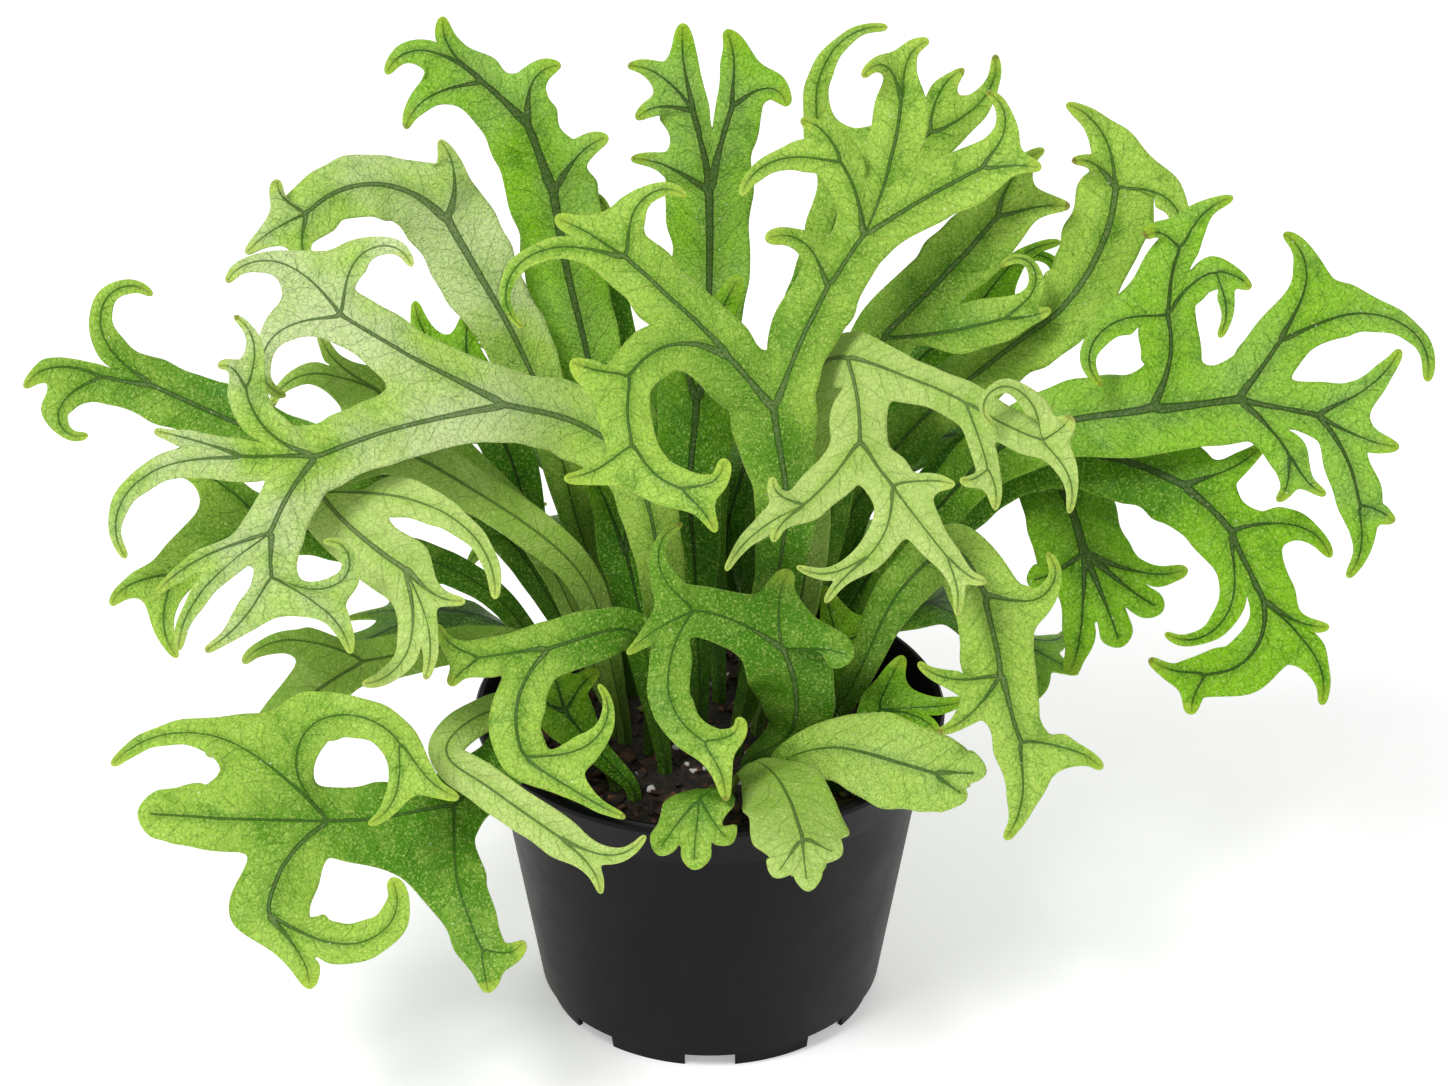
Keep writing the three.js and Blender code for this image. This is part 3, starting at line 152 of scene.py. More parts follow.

# %% [markdown]
# Each frond below has a root in the soil, the way its blade faces, a stem of points with a half width at
# each, and lobes. A lobe is right, up, out, the degrees that it winds through (left is positive), its
# half width at the start and at the end, and its own lobes. Tones name the leaf colour, a shade below 0
# makes a frond darker and one above 0 paler, and above 0.2 it also lays a painted sheen on the lobes.
# Veins is how wide the dark vein is beside the usual.

# %% The fronds in view
FRONDS = [
    {"name": "frond_far_left", "root": [-31, 11], "shade": -0.2,
     "stem": [[-70, 8, -12, 5], [-120, 26, -10, 7], [-156, 41, -8, 10], [-174, 49, -8, 10]],
     "lobes": [
        [-174, 77, -2, -170, 7.5, 1.2],
        [-190, 52, -6, 5, 9, 8, [[-214, 48, 2, 80, 6.5, 1.2], [-194, 34, 2, 160, 7, 1.2]]]]},
    {"name": "frond_big_left", "root": [-19, -10], "shade": 0.5,
     "stem": [[-14, -20, 8, 5], [-24, 24, 18, 8], [-40, 37, 22, 10.5], [-64, 43, 32, 12]],
     "lobes": [
        [-115, 71, 44, -6, 9, 8.5, [
            [-93, 86, 50, -140, 7, 1.2], [-151, 81, 52, 100, 8, 1.2], [-132, 46, 44, 145, 6, 1.2]]],
        [-123, 27, 52, 12, 9, 10.5, [
            [-145, 48, 58, -70, 6.5, 6, [[-149, 71, 62, 80, 4.5, 1], [-154, 55, 64, 80, 3.2, 1]]],
            [-146, 27, 58, 5, 7, 7.5, [[-174, 35, 64, 10, 5.5, 1.2], [-182, -5, 66, 110, 7, 1.2]]],
            [-137, 3, 60, 25, 9, 10, [
                [-173, -16, 68, 30, 6, 1.2], [-166, -34, 72, 45, 6, 1.2],
                [-137, -11, 64, 12, 8.5, 8, [
                    [-158, -34, 72, -25, 6, 1.2], [-112, -35, 72, -45, 6.5, 1.2],
                    [-121, 0, 62, 195, 6, 1]]]]]]]]},
    {"name": "frond_fork_centre", "root": [8, -10], "shade": 0.04,
     "stem": [[20, -18, 6, 6], [24, 12, 26, 9], [20, 42, 38, 13]],
     "lobes": [
        [6, 58, 46, 8, 11, 12, [
            [-26, 89, 40, 5, 10, 9, [
                [-7, 108, 44, -115, 6.5, 1], [-49, 102, 42, 10, 6.5, 2.2],
                [-58, 67, 48, 140, 5.5, 1]]],
            [-25, 52, 56, 95, 8, 7.5, [
                [-44, 57, 60, -10, 5, 1.6],
                [-24, 31, 62, 25, 7, 7, [
                    [-46, 20, 66, -30, 3.6, 1.6],
                    [-9, 17, 68, 50, 6.5, 6, [
                        [4, 27, 70, 95, 4, 1.8], [2, 3, 72, -20, 4, 1]]]]]]]]],
        [37, 80, 40, -8, 10, 10, [
            [17, 94, 48, 95, 5, 2.4],
            [48, 96, 36, -4, 9, 9.5, [
                [41, 119, 40, 35, 6.5, 7.5, [[28, 132, 46, 60, 5, 1.2], [10, 108, 48, 75, 6, 1.4]]],
                [60, 138, 30, 18, 8.5, 8, [[48, 145, 42, 125, 5, 1.2], [69, 157, 34, -70, 6, 1.2]]],
                [85, 117, 30, -8, 9, 8.5, [
                    [86, 141, 34, 100, 6, 1.2], [104, 117, 36, -15, 5, 1.2]]]]]]]]},
    {"name": "frond_arch_left", "root": [-25, 24], "shade": 0.46,
     "stem": [[-40, 2, -38, 4], [-50, 40, -30, 7], [-63, 68, -24, 11], [-82, 101, -20, 14]],
     "lobes": [
        [-126, 103, -4, 95, 12, 9, [
            [-135, 114, 2, -60, 4.5, 1.2], [-145, 90, 2, 25, 6, 1.2], [-123, 86, 2, 60, 5, 1.2]]],
        [-85, 126, -12, 60, 7, 1.2]]},
    {"name": "frond_top_left", "tone": "deep", "root": [-12, 25], "shade": 0.3,
     "stem": [[-22, 0, -50, 4], [-38, 58, -42, 8], [-45, 88, -38, 12], [-49, 110, -35, 15]],
     "lobes": [
        [-57, 131, -31, 6, 13, 14, [
            [-71, 144, -27, 10, 13, 11, [
                [-83, 165, -22, -60, 10, 1.6], [-101, 146, -20, 100, 9, 1.4],
                [-95, 129, -22, 60, 7, 1.2]]],
            [-46, 149, -28, -90, 10, 1.4]]],
        [-31, 127, -34, -40, 6.5, 2]]},
    {"name": "frond_top_curl", "root": [-6, 13], "shade": -0.3,
     "stem": [[-14, 8, -56, 4], [-28, 62, -58, 6], [-36, 96, -56, 7]],
     "lobes": [[-33, 102, -48, -225, 6, 1], [-45, 113, -54, 30, 4, 1]]},
    {"name": "frond_top_centre", "tone": "deep", "root": [3, 22], "shade": 0.3,
     "stem": [[0, 20, -60, 5], [0, 78, -46, 10], [0, 110, -38, 14.5]],
     "lobes": [
        [-25, 120, -32, 30, 6.5, 1.2],
        [-5, 135, -30, 12, 11, 11, [
            [-8, 163, -24, -20, 9.5, 1.8], [-26, 149, -24, 50, 7, 1.2],
            [-23, 132, -26, 60, 6, 1.2]]],
        [7, 136, -30, -12, 11, 10, [[5, 161, -24, 25, 8.5, 1.8], [24, 136, -22, -110, 9, 1.4]]]]},
    {"name": "frond_high_right", "root": [11, 28],
     "stem": [[18, 20, -54, 5], [32, 76, -38, 8], [42, 108, -30, 9]],
     "lobes": [
        [56, 161, -18, -105, 7, 1.4],
        [69, 128, -18, -10, 9, 9, [[80, 148, -10, -60, 7, 1.2], [89, 153, -6, 70, 7.5, 1.2]]]]},
    {"name": "frond_behind_right", "root": [18, 12],
     "stem": [[34, -10, -28, 4], [42, 30, -12, 7], [54, 64, 0, 10]],
     "lobes": [
        [90, 102, 10, 6, 11, 10.5, [[105, 123, 16, -50, 8, 1.2], [113, 105, 16, -20, 7, 1.2]]],
        [92, 70, 8, 14, 9, 7, [[91, 86, 16, 180, 4.5, 1], [107, 73, 12, 20, 5, 1.2]]]]},
    {"name": "frond_strap_right", "root": [20, 19], "shade": 0.2,
     "stem": [[40, 2, -38, 4], [60, 32, -30, 7], [86, 55, -14, 10], [108, 71, 2, 11.5]],
     "lobes": [
        [127, 111, 10, 40, 12, 12, [
            [111, 137, 18, 60, 9, 1.4], [113, 119, 20, 60, 4, 1.2], [139, 92, 16, -160, 7, 1.2]]]]},
    {"name": "frond_far_right", "tone": "deep", "root": [34, -7], "shade": 0.28,
     "stem": [[54, -14, -16, 4], [74, 14, -2, 7], [98, 34, 6, 11], [138, 42, 14, 14]],
     "lobes": [
        [143, 71, 18, 50, 9.5, 9, [
            [123, 49, 24, 125, 7, 1.2],
            [147, 92, 22, -15, 8.5, 7, [[164, 108, 26, -45, 6, 1.2], [136, 95, 26, 90, 3.2, 1.2]]],
            [158, 85, 20, -50, 7, 5.5, [
                [169, 79, 24, -50, 4, 1.2], [159, 64, 24, -50, 3.2, 1.2]]]]],
        [165, 45, 16, 4, 13, 13, [
            [178, 63, 18, 12, 11, 9, [[179, 97, 24, 80, 8, 1.4], [224, 50, 22, -115, 9.5, 1.4]]],
            [190, 40, 18, 8, 10, 10.5, [
                [216, 61, 24, 35, 7, 1.4], [216, 30, 24, 25, 6, 1.4],
                [203, 12, 22, -40, 8.5, 7, [
                    [199, -11, 26, -45, 5.5, 1.2], [214, 6, 26, -40, 5, 1.2]]]]],
            [181, 28, 20, -25, 8, 6.5, [
                [177, 13, 24, -50, 4.5, 1.2], [193, 15, 24, 40, 4, 1.2]]]]]]},
    {"name": "frond_low_right", "tone": "deep", "root": [38, 4], "shade": 0.1,
     "stem": [[54, -23, -24, 4], [76, 9, -17, 7], [104, 29, -9, 11], [128, 26, -2, 13]],
     "lobes": [
        [148, 18, 4, -15, 13, 13, [
            [174, 32, 8, 30, 6.5, 1.4],
            [163, 4, 8, -20, 11.5, 12, [
                [194, -5, 14, -80, 8, 1.4],
                [173, -18, 12, 8, 10, 10.5, [
                    [191, -51, 18, -60, 7.5, 1.4], [194, -26, 18, 40, 5.5, 1.2],
                    [155, -41, 16, -110, 8, 7, [
                        [137, -36, 20, -30, 5, 1.2], [151, -54, 20, 40, 5.5, 1.4]]]]],
                [142, -28, 14, -115, 7.5, 1.2]]]]]]},
    {"name": "frond_hanging_right", "tone": "deep", "root": [30, 14], "shade": -0.05,
     "stem": [[46, -16, -40, 4], [72, 16, -32, 7], [98, 30, -24, 11], [112, 13, -18, 13.5],
               [117, -3, -13, 15]],
     "lobes": [
        [112, -42, -4, -20, 11, 2.6], [129, -34, -5, -5, 9, 5], [143, -22, -7, 10, 9, 5],
        [150, -8, -8, 40, 7, 2], [98, -12, -10, -30, 8, 4]]},
    {"name": "frond_pale_right", "tone": "pale", "root": [15, 1],
     "stem": [[28, -22, -6, 4], [31, 16, 8, 6], [32, 45, 17, 7.5], [36, 57, 25, 8], [43, 58, 33, 9]],
     "lobes": [
        [47, 32, 44, -20, 8, 8.5, [
            [30, 12, 52, -15, 7, 6, [
                [5, -9, 60, 35, 5, 1], [20, 21, 58, -80, 3, 1], [20, 0, 60, 40, 3, 1]]],
            [57, 18, 50, 10, 7.5, 7.5, [
                [50, -4, 56, -50, 5.5, 4.5, [[27, -7, 62, -60, 3.5, 1], [36, -19, 62, 20, 3, 1]]],
                [74, -4, 54, 5, 5, 4.5, [[87, -12, 60, 40, 3.5, 1], [77, -23, 60, -35, 3, 1]]],
                [77, 18, 52, -30, 4.5, 1]]]]],
        [80, 44, 42, -10, 7, 6.5, [
            [87, 23, 46, -10, 4.5, 3.5, [[89, 10, 52, -40, 3, 1], [78, 20, 52, -50, 2.6, 1]]],
            [104, 32, 48, 15, 6, 5.5, [
                [89, 37, 54, 205, 4, 1], [112, 9, 54, -60, 4, 1], [113, 40, 54, 30, 3, 1]]]]]]},
    {"name": "frond_drooping_right", "root": [30, -20], "shade": 0.25,
     "stem": [[46, -42, 2, 4], [60, -14, 16, 6], [77, -2, 24, 9], [86, -16, 30, 10.5]],
     "lobes": [
        [105, -3, 42, 135, 7.5, 1.2],
        [91, -41, 34, -6, 10.5, 11, [
            [65, -37, 42, -50, 4.5, 1.2], [71, -59, 42, -40, 5.5, 1.2],
            [97, -62, 38, 8, 9.5, 9, [
                [92, -93, 42, -40, 8.5, 1.4], [123, -71, 44, -40, 7, 1.4]]]]]]},
    {"name": "frond_ring_front", "root": [11, -21], "shade": -0.1, "veins": 0.75,
     "stem": [[25, -60, 0, 8], [27, -45, 16, 13], [23, -33, 24, 13]],
     "lobes": [
        [-5, -21, 34, 30, 9, 8, [
            [-8, 6, 42, -110, 5.5, 1], [-26, -35, 42, 20, 4, 1],
            [-13, -46, 38, 45, 7, 6.5, [
                [-2, -62, 44, 50, 6.5, 5.5, [
                    [9, -54, 48, 90, 4.5, 1.2], [5, -81, 50, -30, 5, 1.2]]]]]]],
        [26, -8, 32, -45, 8, 2.5], [46, -36, 32, -15, 8, 4]]},
    {"name": "leaf_broad_right", "root": [18, -31], "shade": 0.3, "veins": 0.4,
     "stem": [[25, -67, 9, 5], [39, -64, 20, 10.5], [54, -67, 27, 14], [70, -72, 32, 13]],
     "lobes": [[89, -72, 36, 10, 10, 8], [82, -81, 36, -10, 10, 8]]},
    {"name": "leaf_rim_right", "tone": "deep", "root": [38, -31], "veins": 0.6,
     "stem": [[44, -68, 0, 4], [53, -52, 6, 7]],
     "lobes": [
        [61, -35, 8, -20, 6, 1.4], [81, -49, 14, 15, 5.5, 1.2], [72, -61, 16, -50, 4.5, 1.4]]},
    {"name": "leaf_broad_front", "tone": "pale", "root": [6, -37],
     "facing": [0, 0.65, 0.75], "shade": -0.3, "veins": 0.35,
     "stem": [[14, -69, 18, 7], [23, -76, 38, 13], [29, -92, 54, 15.5]],
     "lobes": [[19, -106, 58, -12, 9, 6], [31, -111, 60, 5, 9, 7], [43, -98, 58, 20, 9, 6]]},
    {"name": "leaf_small_front", "root": [-3, -45], "facing": [0, 0.8, 0.6], "shade": -0.2, "veins": 0.4,
     "stem": [[2, -77, 24, 5], [-3, -80, 43, 11]],
     "lobes": [[-17, -99, 48, 10, 8.5, 5.5], [-5, -104, 49, 5, 8.5, 6], [8, -95, 48, 20, 7.5, 5]]},
    {"name": "frond_strap_rim", "tone": "pale", "root": [-29, -31], "shade": 0.15,
     "stem": [[-48, -50, 6, 4], [-72, -54, 20, 5], [-83, -66, 34, 6], [-68, -77, 42, 6],
               [-47, -92, 46, 6.5]],
     "lobes": [[-20, -91, 52, 80, 5, 1], [-34, -110, 50, -45, 5.5, 1]]},
    {"name": "frond_low_left", "root": [-33, -18], "shade": 0.05, "veins": 0.6,
     "stem": [[-54, -52, 4, 5], [-66, -70, 18, 8], [-80, -82, 28, 11]],
     "lobes": [
        [-119, -87, 38, -8, 11, 11, [
            [-97, -62, 56, -200, 7.5, 6, [
                [-107, -88, 62, -65, 5.5, 1.2], [-78, -80, 62, 30, 5.5, 1.2]]],
            [-187, -70, 50, 85, 10.5, 1.4], [-181, -84, 48, -5, 13, 7],
            [-138, -116, 46, 60, 12, 12.5, [
                [-100, -104, 52, 135, 11, 2.5], [-125, -140, 52, -40, 11, 2]]]]],
        [-71, -127, 42, 30, 10.5, 7, [
            [-69, -141, 46, 10, 5.5, 1.4], [-58, -124, 48, 70, 5.5, 1.2]]]]},
    {"name": "frond_grey_left", "tone": "pale", "root": [-38, 1], "shade": -0.5,
     "stem": [[-58, -32, -12, 4], [-86, -33, 4, 6], [-108, -37, 12, 7]],
     "lobes": [
        [-146, -38, 20, 70, 7.5, 1.4],
        [-134, -57, 18, 25, 9, 8, [[-124, -80, 24, 60, 6, 1.2], [-158, -66, 24, -10, 6.5, 1.4]]]]},
    {"name": "frond_pale_left", "tone": "pale", "root": [-27, -3],
     "stem": [[-40, -10, 0, 4], [-70, 14, 12, 6], [-99, 29, 24, 7], [-117, 26, 32, 8],
               [-122, 16, 36, 8.5]],
     "lobes": [
        [-95, -8, 44, 20, 9.5, 10.5, [
            [-76, -18, 50, 50, 6, 1.2], [-89, -43, 52, -40, 5.5, 1.2],
            [-109, -44, 52, -90, 8.5, 1.2]]],
        [-67, -18, 46, -80, 9, 1.4]]},
    {"name": "frond_under_arch", "tone": "deep", "root": [-33, 20],
     "stem": [[-52, -10, -28, 4], [-62, 26, -24, 7], [-75, 50, -28, 9]],
     "lobes": [
        [-92, 76, -34, -40, 8, 1.4], [-73, 75, -34, -30, 7, 1.2], [-99, 59, -34, 40, 7, 1.2]]},
    {"name": "frond_behind_left", "root": [-42, 8], "shade": -0.1,
     "stem": [[-70, -14, -10, 4], [-108, 0, 10, 6], [-140, 6, 26, 9]],
     "lobes": [
        [-176, 20, 38, 75, 7.5, 1.4],
        [-168, -10, 40, 20, 8, 7, [[-187, -20, 46, 60, 5.5, 1.2], [-166, -36, 46, 50, 5.5, 1.2]]]]},
    {"name": "frond_pale_behind", "tone": "pale", "root": [-30, 3], "shade": -0.35,
     "stem": [[-56, 4, -12, 4], [-88, 34, -2, 6], [-103, 47, 8, 8]],
     "lobes": [
        [-137, 42, 16, 90, 6.5, 1.2], [-128, 28, 14, -80, 6.5, 1.2], [-122, 66, 12, -40, 5, 1.2]]},
    {"name": "frond_spiral", "tone": "deep", "root": [25, 31],
     "stem": [[36, 20, -46, 4], [62, 54, -42, 6], [82, 70, -38, 7]],
     "lobes": [[96, 86, -36, 215, 5.5, 1], [110, 94, -34, -50, 6.5, 1.2]]},
    {"name": "leaf_dark_left", "tone": "deep", "root": [-23, -37],
     "stem": [[-36, -64, 8, 4], [-45, -53, 16, 9]],
     "lobes": [
        [-50, -33, 20, -10, 8, 1.8], [-34, -40, 18, -40, 7, 1.4], [-61, -47, 20, 20, 6.5, 1.4]]},
    {"name": "leaf_dark_right", "tone": "deep", "root": [28, 3],
     "stem": [[35, -46, -14, 4], [41, -31, -9, 7]],
     "lobes": [[36, -13, -5, -20, 6, 1.4], [55, -24, -5, 20, 7, 1.4]]},
    # These two fronds deep in the centre take the deep tone and a shade below 0: painted shade where they
    # stand inside the plant.
    {"name": "frond_shade_centre", "tone": "deep", "root": [-3, 2], "shade": -0.1,
     "stem": [[-4, -20, -26, 5], [-6, 20, -24, 10], [-4, 44, -24, 13]],
     "lobes": [[-16, 76, -26, 15, 10, 2.4], [10, 84, -26, -20, 11, 2.4]]},
    {"name": "frond_shade_left", "tone": "deep", "root": [-12, 2], "shade": -0.2,
     "stem": [[-20, -28, -26, 5], [-26, -4, -24, 9]],
     "lobes": [[-42, 28, -24, 20, 9, 2], [-24, 34, -24, -15, 9, 2]]},
    {"name": "frond_ring_left", "root": [-14, -23], "shade": 0.05,
     "stem": [[-18, -48, 2, 4], [-24, -27, 22, 7], [-50, -33, 32, 9]],
     "lobes": [
        [-72, -36, 36, 0, 6.5, 6, [[-85, -25, 42, -50, 4, 1], [-81, -45, 42, 25, 4, 1]]],
        [-58, -67, 38, 75, 8.5, 7.5, [[-35, -44, 46, 115, 6.5, 1], [-26, -86, 48, 10, 5, 1]]]]},
]

# %% [markdown]
# The back of the plant is out of the photograph's sight, so its fronds follow a rule: each arches out
# over the rim, forks, and forks again, and the mirror hand gives its neighbour. The stem's points are
# shares of the way to the fork: aside, away with some millimetres more, up, and the half width.

# %% The hidden fronds
SOIL_Z = 91
RULE_STEM = [(0.3, 0.45, 18, 0.6, 4.5), (0.7, 0.72, 8, 0.92, 7.5)]
RULE_FORK_WIDTH = 11
BACK_FRONDS = {
    "left_low": (-110, [-46, 16], [14, 90, 128], -12, 1),
    "left": (-138, [-38, 33], [0, 84, 168], 26, -1),
    "left_inner": (-162, [-18, 46], [8, 84, 126], -8, 1),
    "centre": (178, [15, 48], [-12, 86, 156], 16, -1),
    "right_inner": (154, [24, 44], [-8, 84, 124], -10, -1),
    "right": (132, [43, 34], [2, 88, 166], 24, 1),
    "right_low": (114, [49, 14], [-10, 74, 128], -12, -1),
}


def frond_by_rule(name, azimuth, root, fork, climb, hand):
    """A plan from where the frond forks, how steeply it climbs there and which hand it is."""
    lean = climb - 90
    cos, sin = math.cos(math.radians(lean)), math.sin(math.radians(lean))

    def on_board(aside, away, z):
        return [aside, (z - BOARD_Z) * cos - away * sin, (z - BOARD_Z) * sin + away * cos]

    aside, away, z = fork
    right, up, out = on_board(*fork)

    def lobe(side, forward, sag, turn, start, end, *children):
        return [right + side * hand, up + forward, out + sag, turn * hand, start, end, list(children)]

    stem = [[*on_board(aside * part, reach * away + more, SOIL_Z + rise * (z - SOIL_Z)), width]
            for part, reach, more, rise, width in RULE_STEM]
    return {
        "name": name, "tone": "deep", "azimuth": azimuth, "lean": lean, "root": root,
        "facing": [0, 0, -1], "stem": [*stem, [right, up, out, RULE_FORK_WIDTH]],
        "lobes": [
            lobe(22, 20, 2, 10, 9, 8.5,
                 lobe(48, 14, 12, -70, 7, 1.2),
                 lobe(36, 40, 8, 10, 6, 1.4),
                 lobe(10, 47, 6, 60, 6.5, 1.2)),
            lobe(2, 32, 2, -20, 6, 1.4),
            lobe(-22, 20, 2, 30, 9, 8.5,
                 lobe(-33, 41, 6, -60, 6, 1.2),
                 lobe(-48, 12, 14, 50, 7, 1.2)),
        ],
    }


PLANS = FRONDS + [frond_by_rule("frond_back_" + name, *plan) for name, plan in BACK_FRONDS.items()]
print(len(PLANS), "fronds and leaves")

# %% [markdown]
# Every vein is a path through space. A stem is a smooth curve through its points, and a lobe's vein
# turns steadily, or ever tighter towards the tip where it ends in a hook. Both become one list of close
# points that can be read at any distance.

# %% Paths
TANGENT_SHARE = 1 / 40
STEM_STEPS = 28
LOBE_STEPS = 48
TINY = 1e-6


class Path:
    def __init__(self, points):
        self.points = points
        self.at = [0.0]
        for a, b in zip(points, points[1:]):
            self.at.append(self.at[-1] + (b - a).length)
        self.length = self.at[-1]

    def point(self, distance):
        d = min(max(distance, 0), self.length)
        i = 1
        while i < len(self.at) - 1 and self.at[i] < d:
            i += 1
        share = (d - self.at[i - 1]) / (self.at[i] - self.at[i - 1])
        return self.points[i - 1].lerp(self.points[i], share)

    def tangent(self, distance):
        h = self.length * TANGENT_SHARE
        before = self.point(max(0, distance - h))
        return (self.point(min(self.length, distance + h)) - before).normalized()


def stem_path(knots):
    """Centripetal Catmull-Rom curve through the knots."""
    ghosts = [knots[0] * 2 - knots[1], *knots, knots[-1] * 2 - knots[-2]]
    points = []
    spans = len(knots) - 1
    for step in range(STEM_STEPS + 1):
        along = min(step / STEM_STEPS * spans, spans - TINY)
        i = int(along)
        p = ghosts[i:i + 4]
        t = [0.0]
        for a, b in zip(p, p[1:]):
            t.append(t[-1] + math.sqrt(max((b - a).length, TINY)))
        x = t[1] + (along - i) * (t[2] - t[1])
        a1, a2, a3 = (p[k].lerp(p[k + 1], (x - t[k]) / (t[k + 1] - t[k])) for k in range(3))
        b1 = a1.lerp(a2, (x - t[0]) / (t[2] - t[0]))
        b2 = a2.lerp(a3, (x - t[1]) / (t[3] - t[1]))
        points.append(b1.lerp(b2, (x - t[1]) / (t[2] - t[1])))
    return points


def winding_path(start, end, turn, growth, to_viewer):
    """A path that turns as it goes, laid flat first and then fitted between its two ends."""
    flat = [(0.0, 0.0)]
    for i in range(LOBE_STEPS):
        heading = math.radians(turn) * ((i + 0.5) / LOBE_STEPS) ** growth
        x, y = flat[-1]
        flat.append((x + math.cos(heading), y + math.sin(heading)))
    end_x, end_y = flat[-1]
    span = end_x ** 2 + end_y ** 2
    chord = end - start
    left = to_viewer.cross(chord).normalized() * chord.length
    return Path([
        start + chord * ((x * end_x + y * end_y) / span) + left * ((y * end_x - x * end_y) / span)
        for x, y in flat
    ])


# %% [markdown]
# A blade grows like the real one, from the stem outwards. It starts as four edges across the stem, and
# each step extrudes the last row of edges and sets the new row in place, so the mesh is a strip of four
# sided faces with the vein down its middle. At a fork the vein's point fans out into one row for each
# lobe, and neighbouring rows share the point of the crotch between them. Subdivision then rounds every
# crotch and hook. Beside its place each point carries facts that the leaf colours need: its distance
# from the vein, how far along the frond it is, and how wide the vein is there. The margins' waves are
# given as millimetres for each radian, how often the frond's phase counts, and the shift between sides.

# %% Blade rows
MARGIN_WAVE = 0.09
SCALLOP = 0.085
PUCKER = 0.5
EDGE_RIPPLE = 0.16
FRILL = 0.05
CUP = 0.1
RIPPLE_WAVE, FRILL_WAVE = (6.5, 1, 1.3), (2.4, 3, 0.8)
SWELL_WAVE, TEETH_WAVE = (5.4, 1, 0.9), (1.9, 2, 2.1)
PUCKER_WAVE = (2.3, 3, 1.7)
FULL_HALF_WIDTH = 9
VEIN_LEAST, VEIN_GAIN, VEIN_POWER = 0.21, 0.0145, 1.7
RIB_ROOT = 3.2
RIB_BLADE = 1.5
RIB_RISE = 0.2
BLADE_EDGE = 0.6
MIDDLE_SHARE = 0.52
MIDDLE_THICK = 0.9
BEND_SHARE = 1 / 20
INSIDE_SHARE = 0.78
FACTS = ("across", "margin", "run", "along", "vein", "tip", "shade")


class Spot:
    """A point of the blade, with what the leaf colours need to know about it."""

    def __init__(self, place, across, margin, run, vein, thick, tip=0.0):
        self.place, self.across, self.margin, self.run = place, across, margin, run
        self.vein, self.thick, self.tip = vein, thick, tip

    def between(self, other, share=0.5):
        def mix(a, b):
            return a + (b - a) * share
        return Spot(self.place.lerp(other.place, share), mix(self.across, other.across),
                    mix(self.margin, other.margin), mix(self.run, other.run),
                    mix(self.vein, other.vein), mix(self.thick, other.thick), mix(self.tip, other.tip))


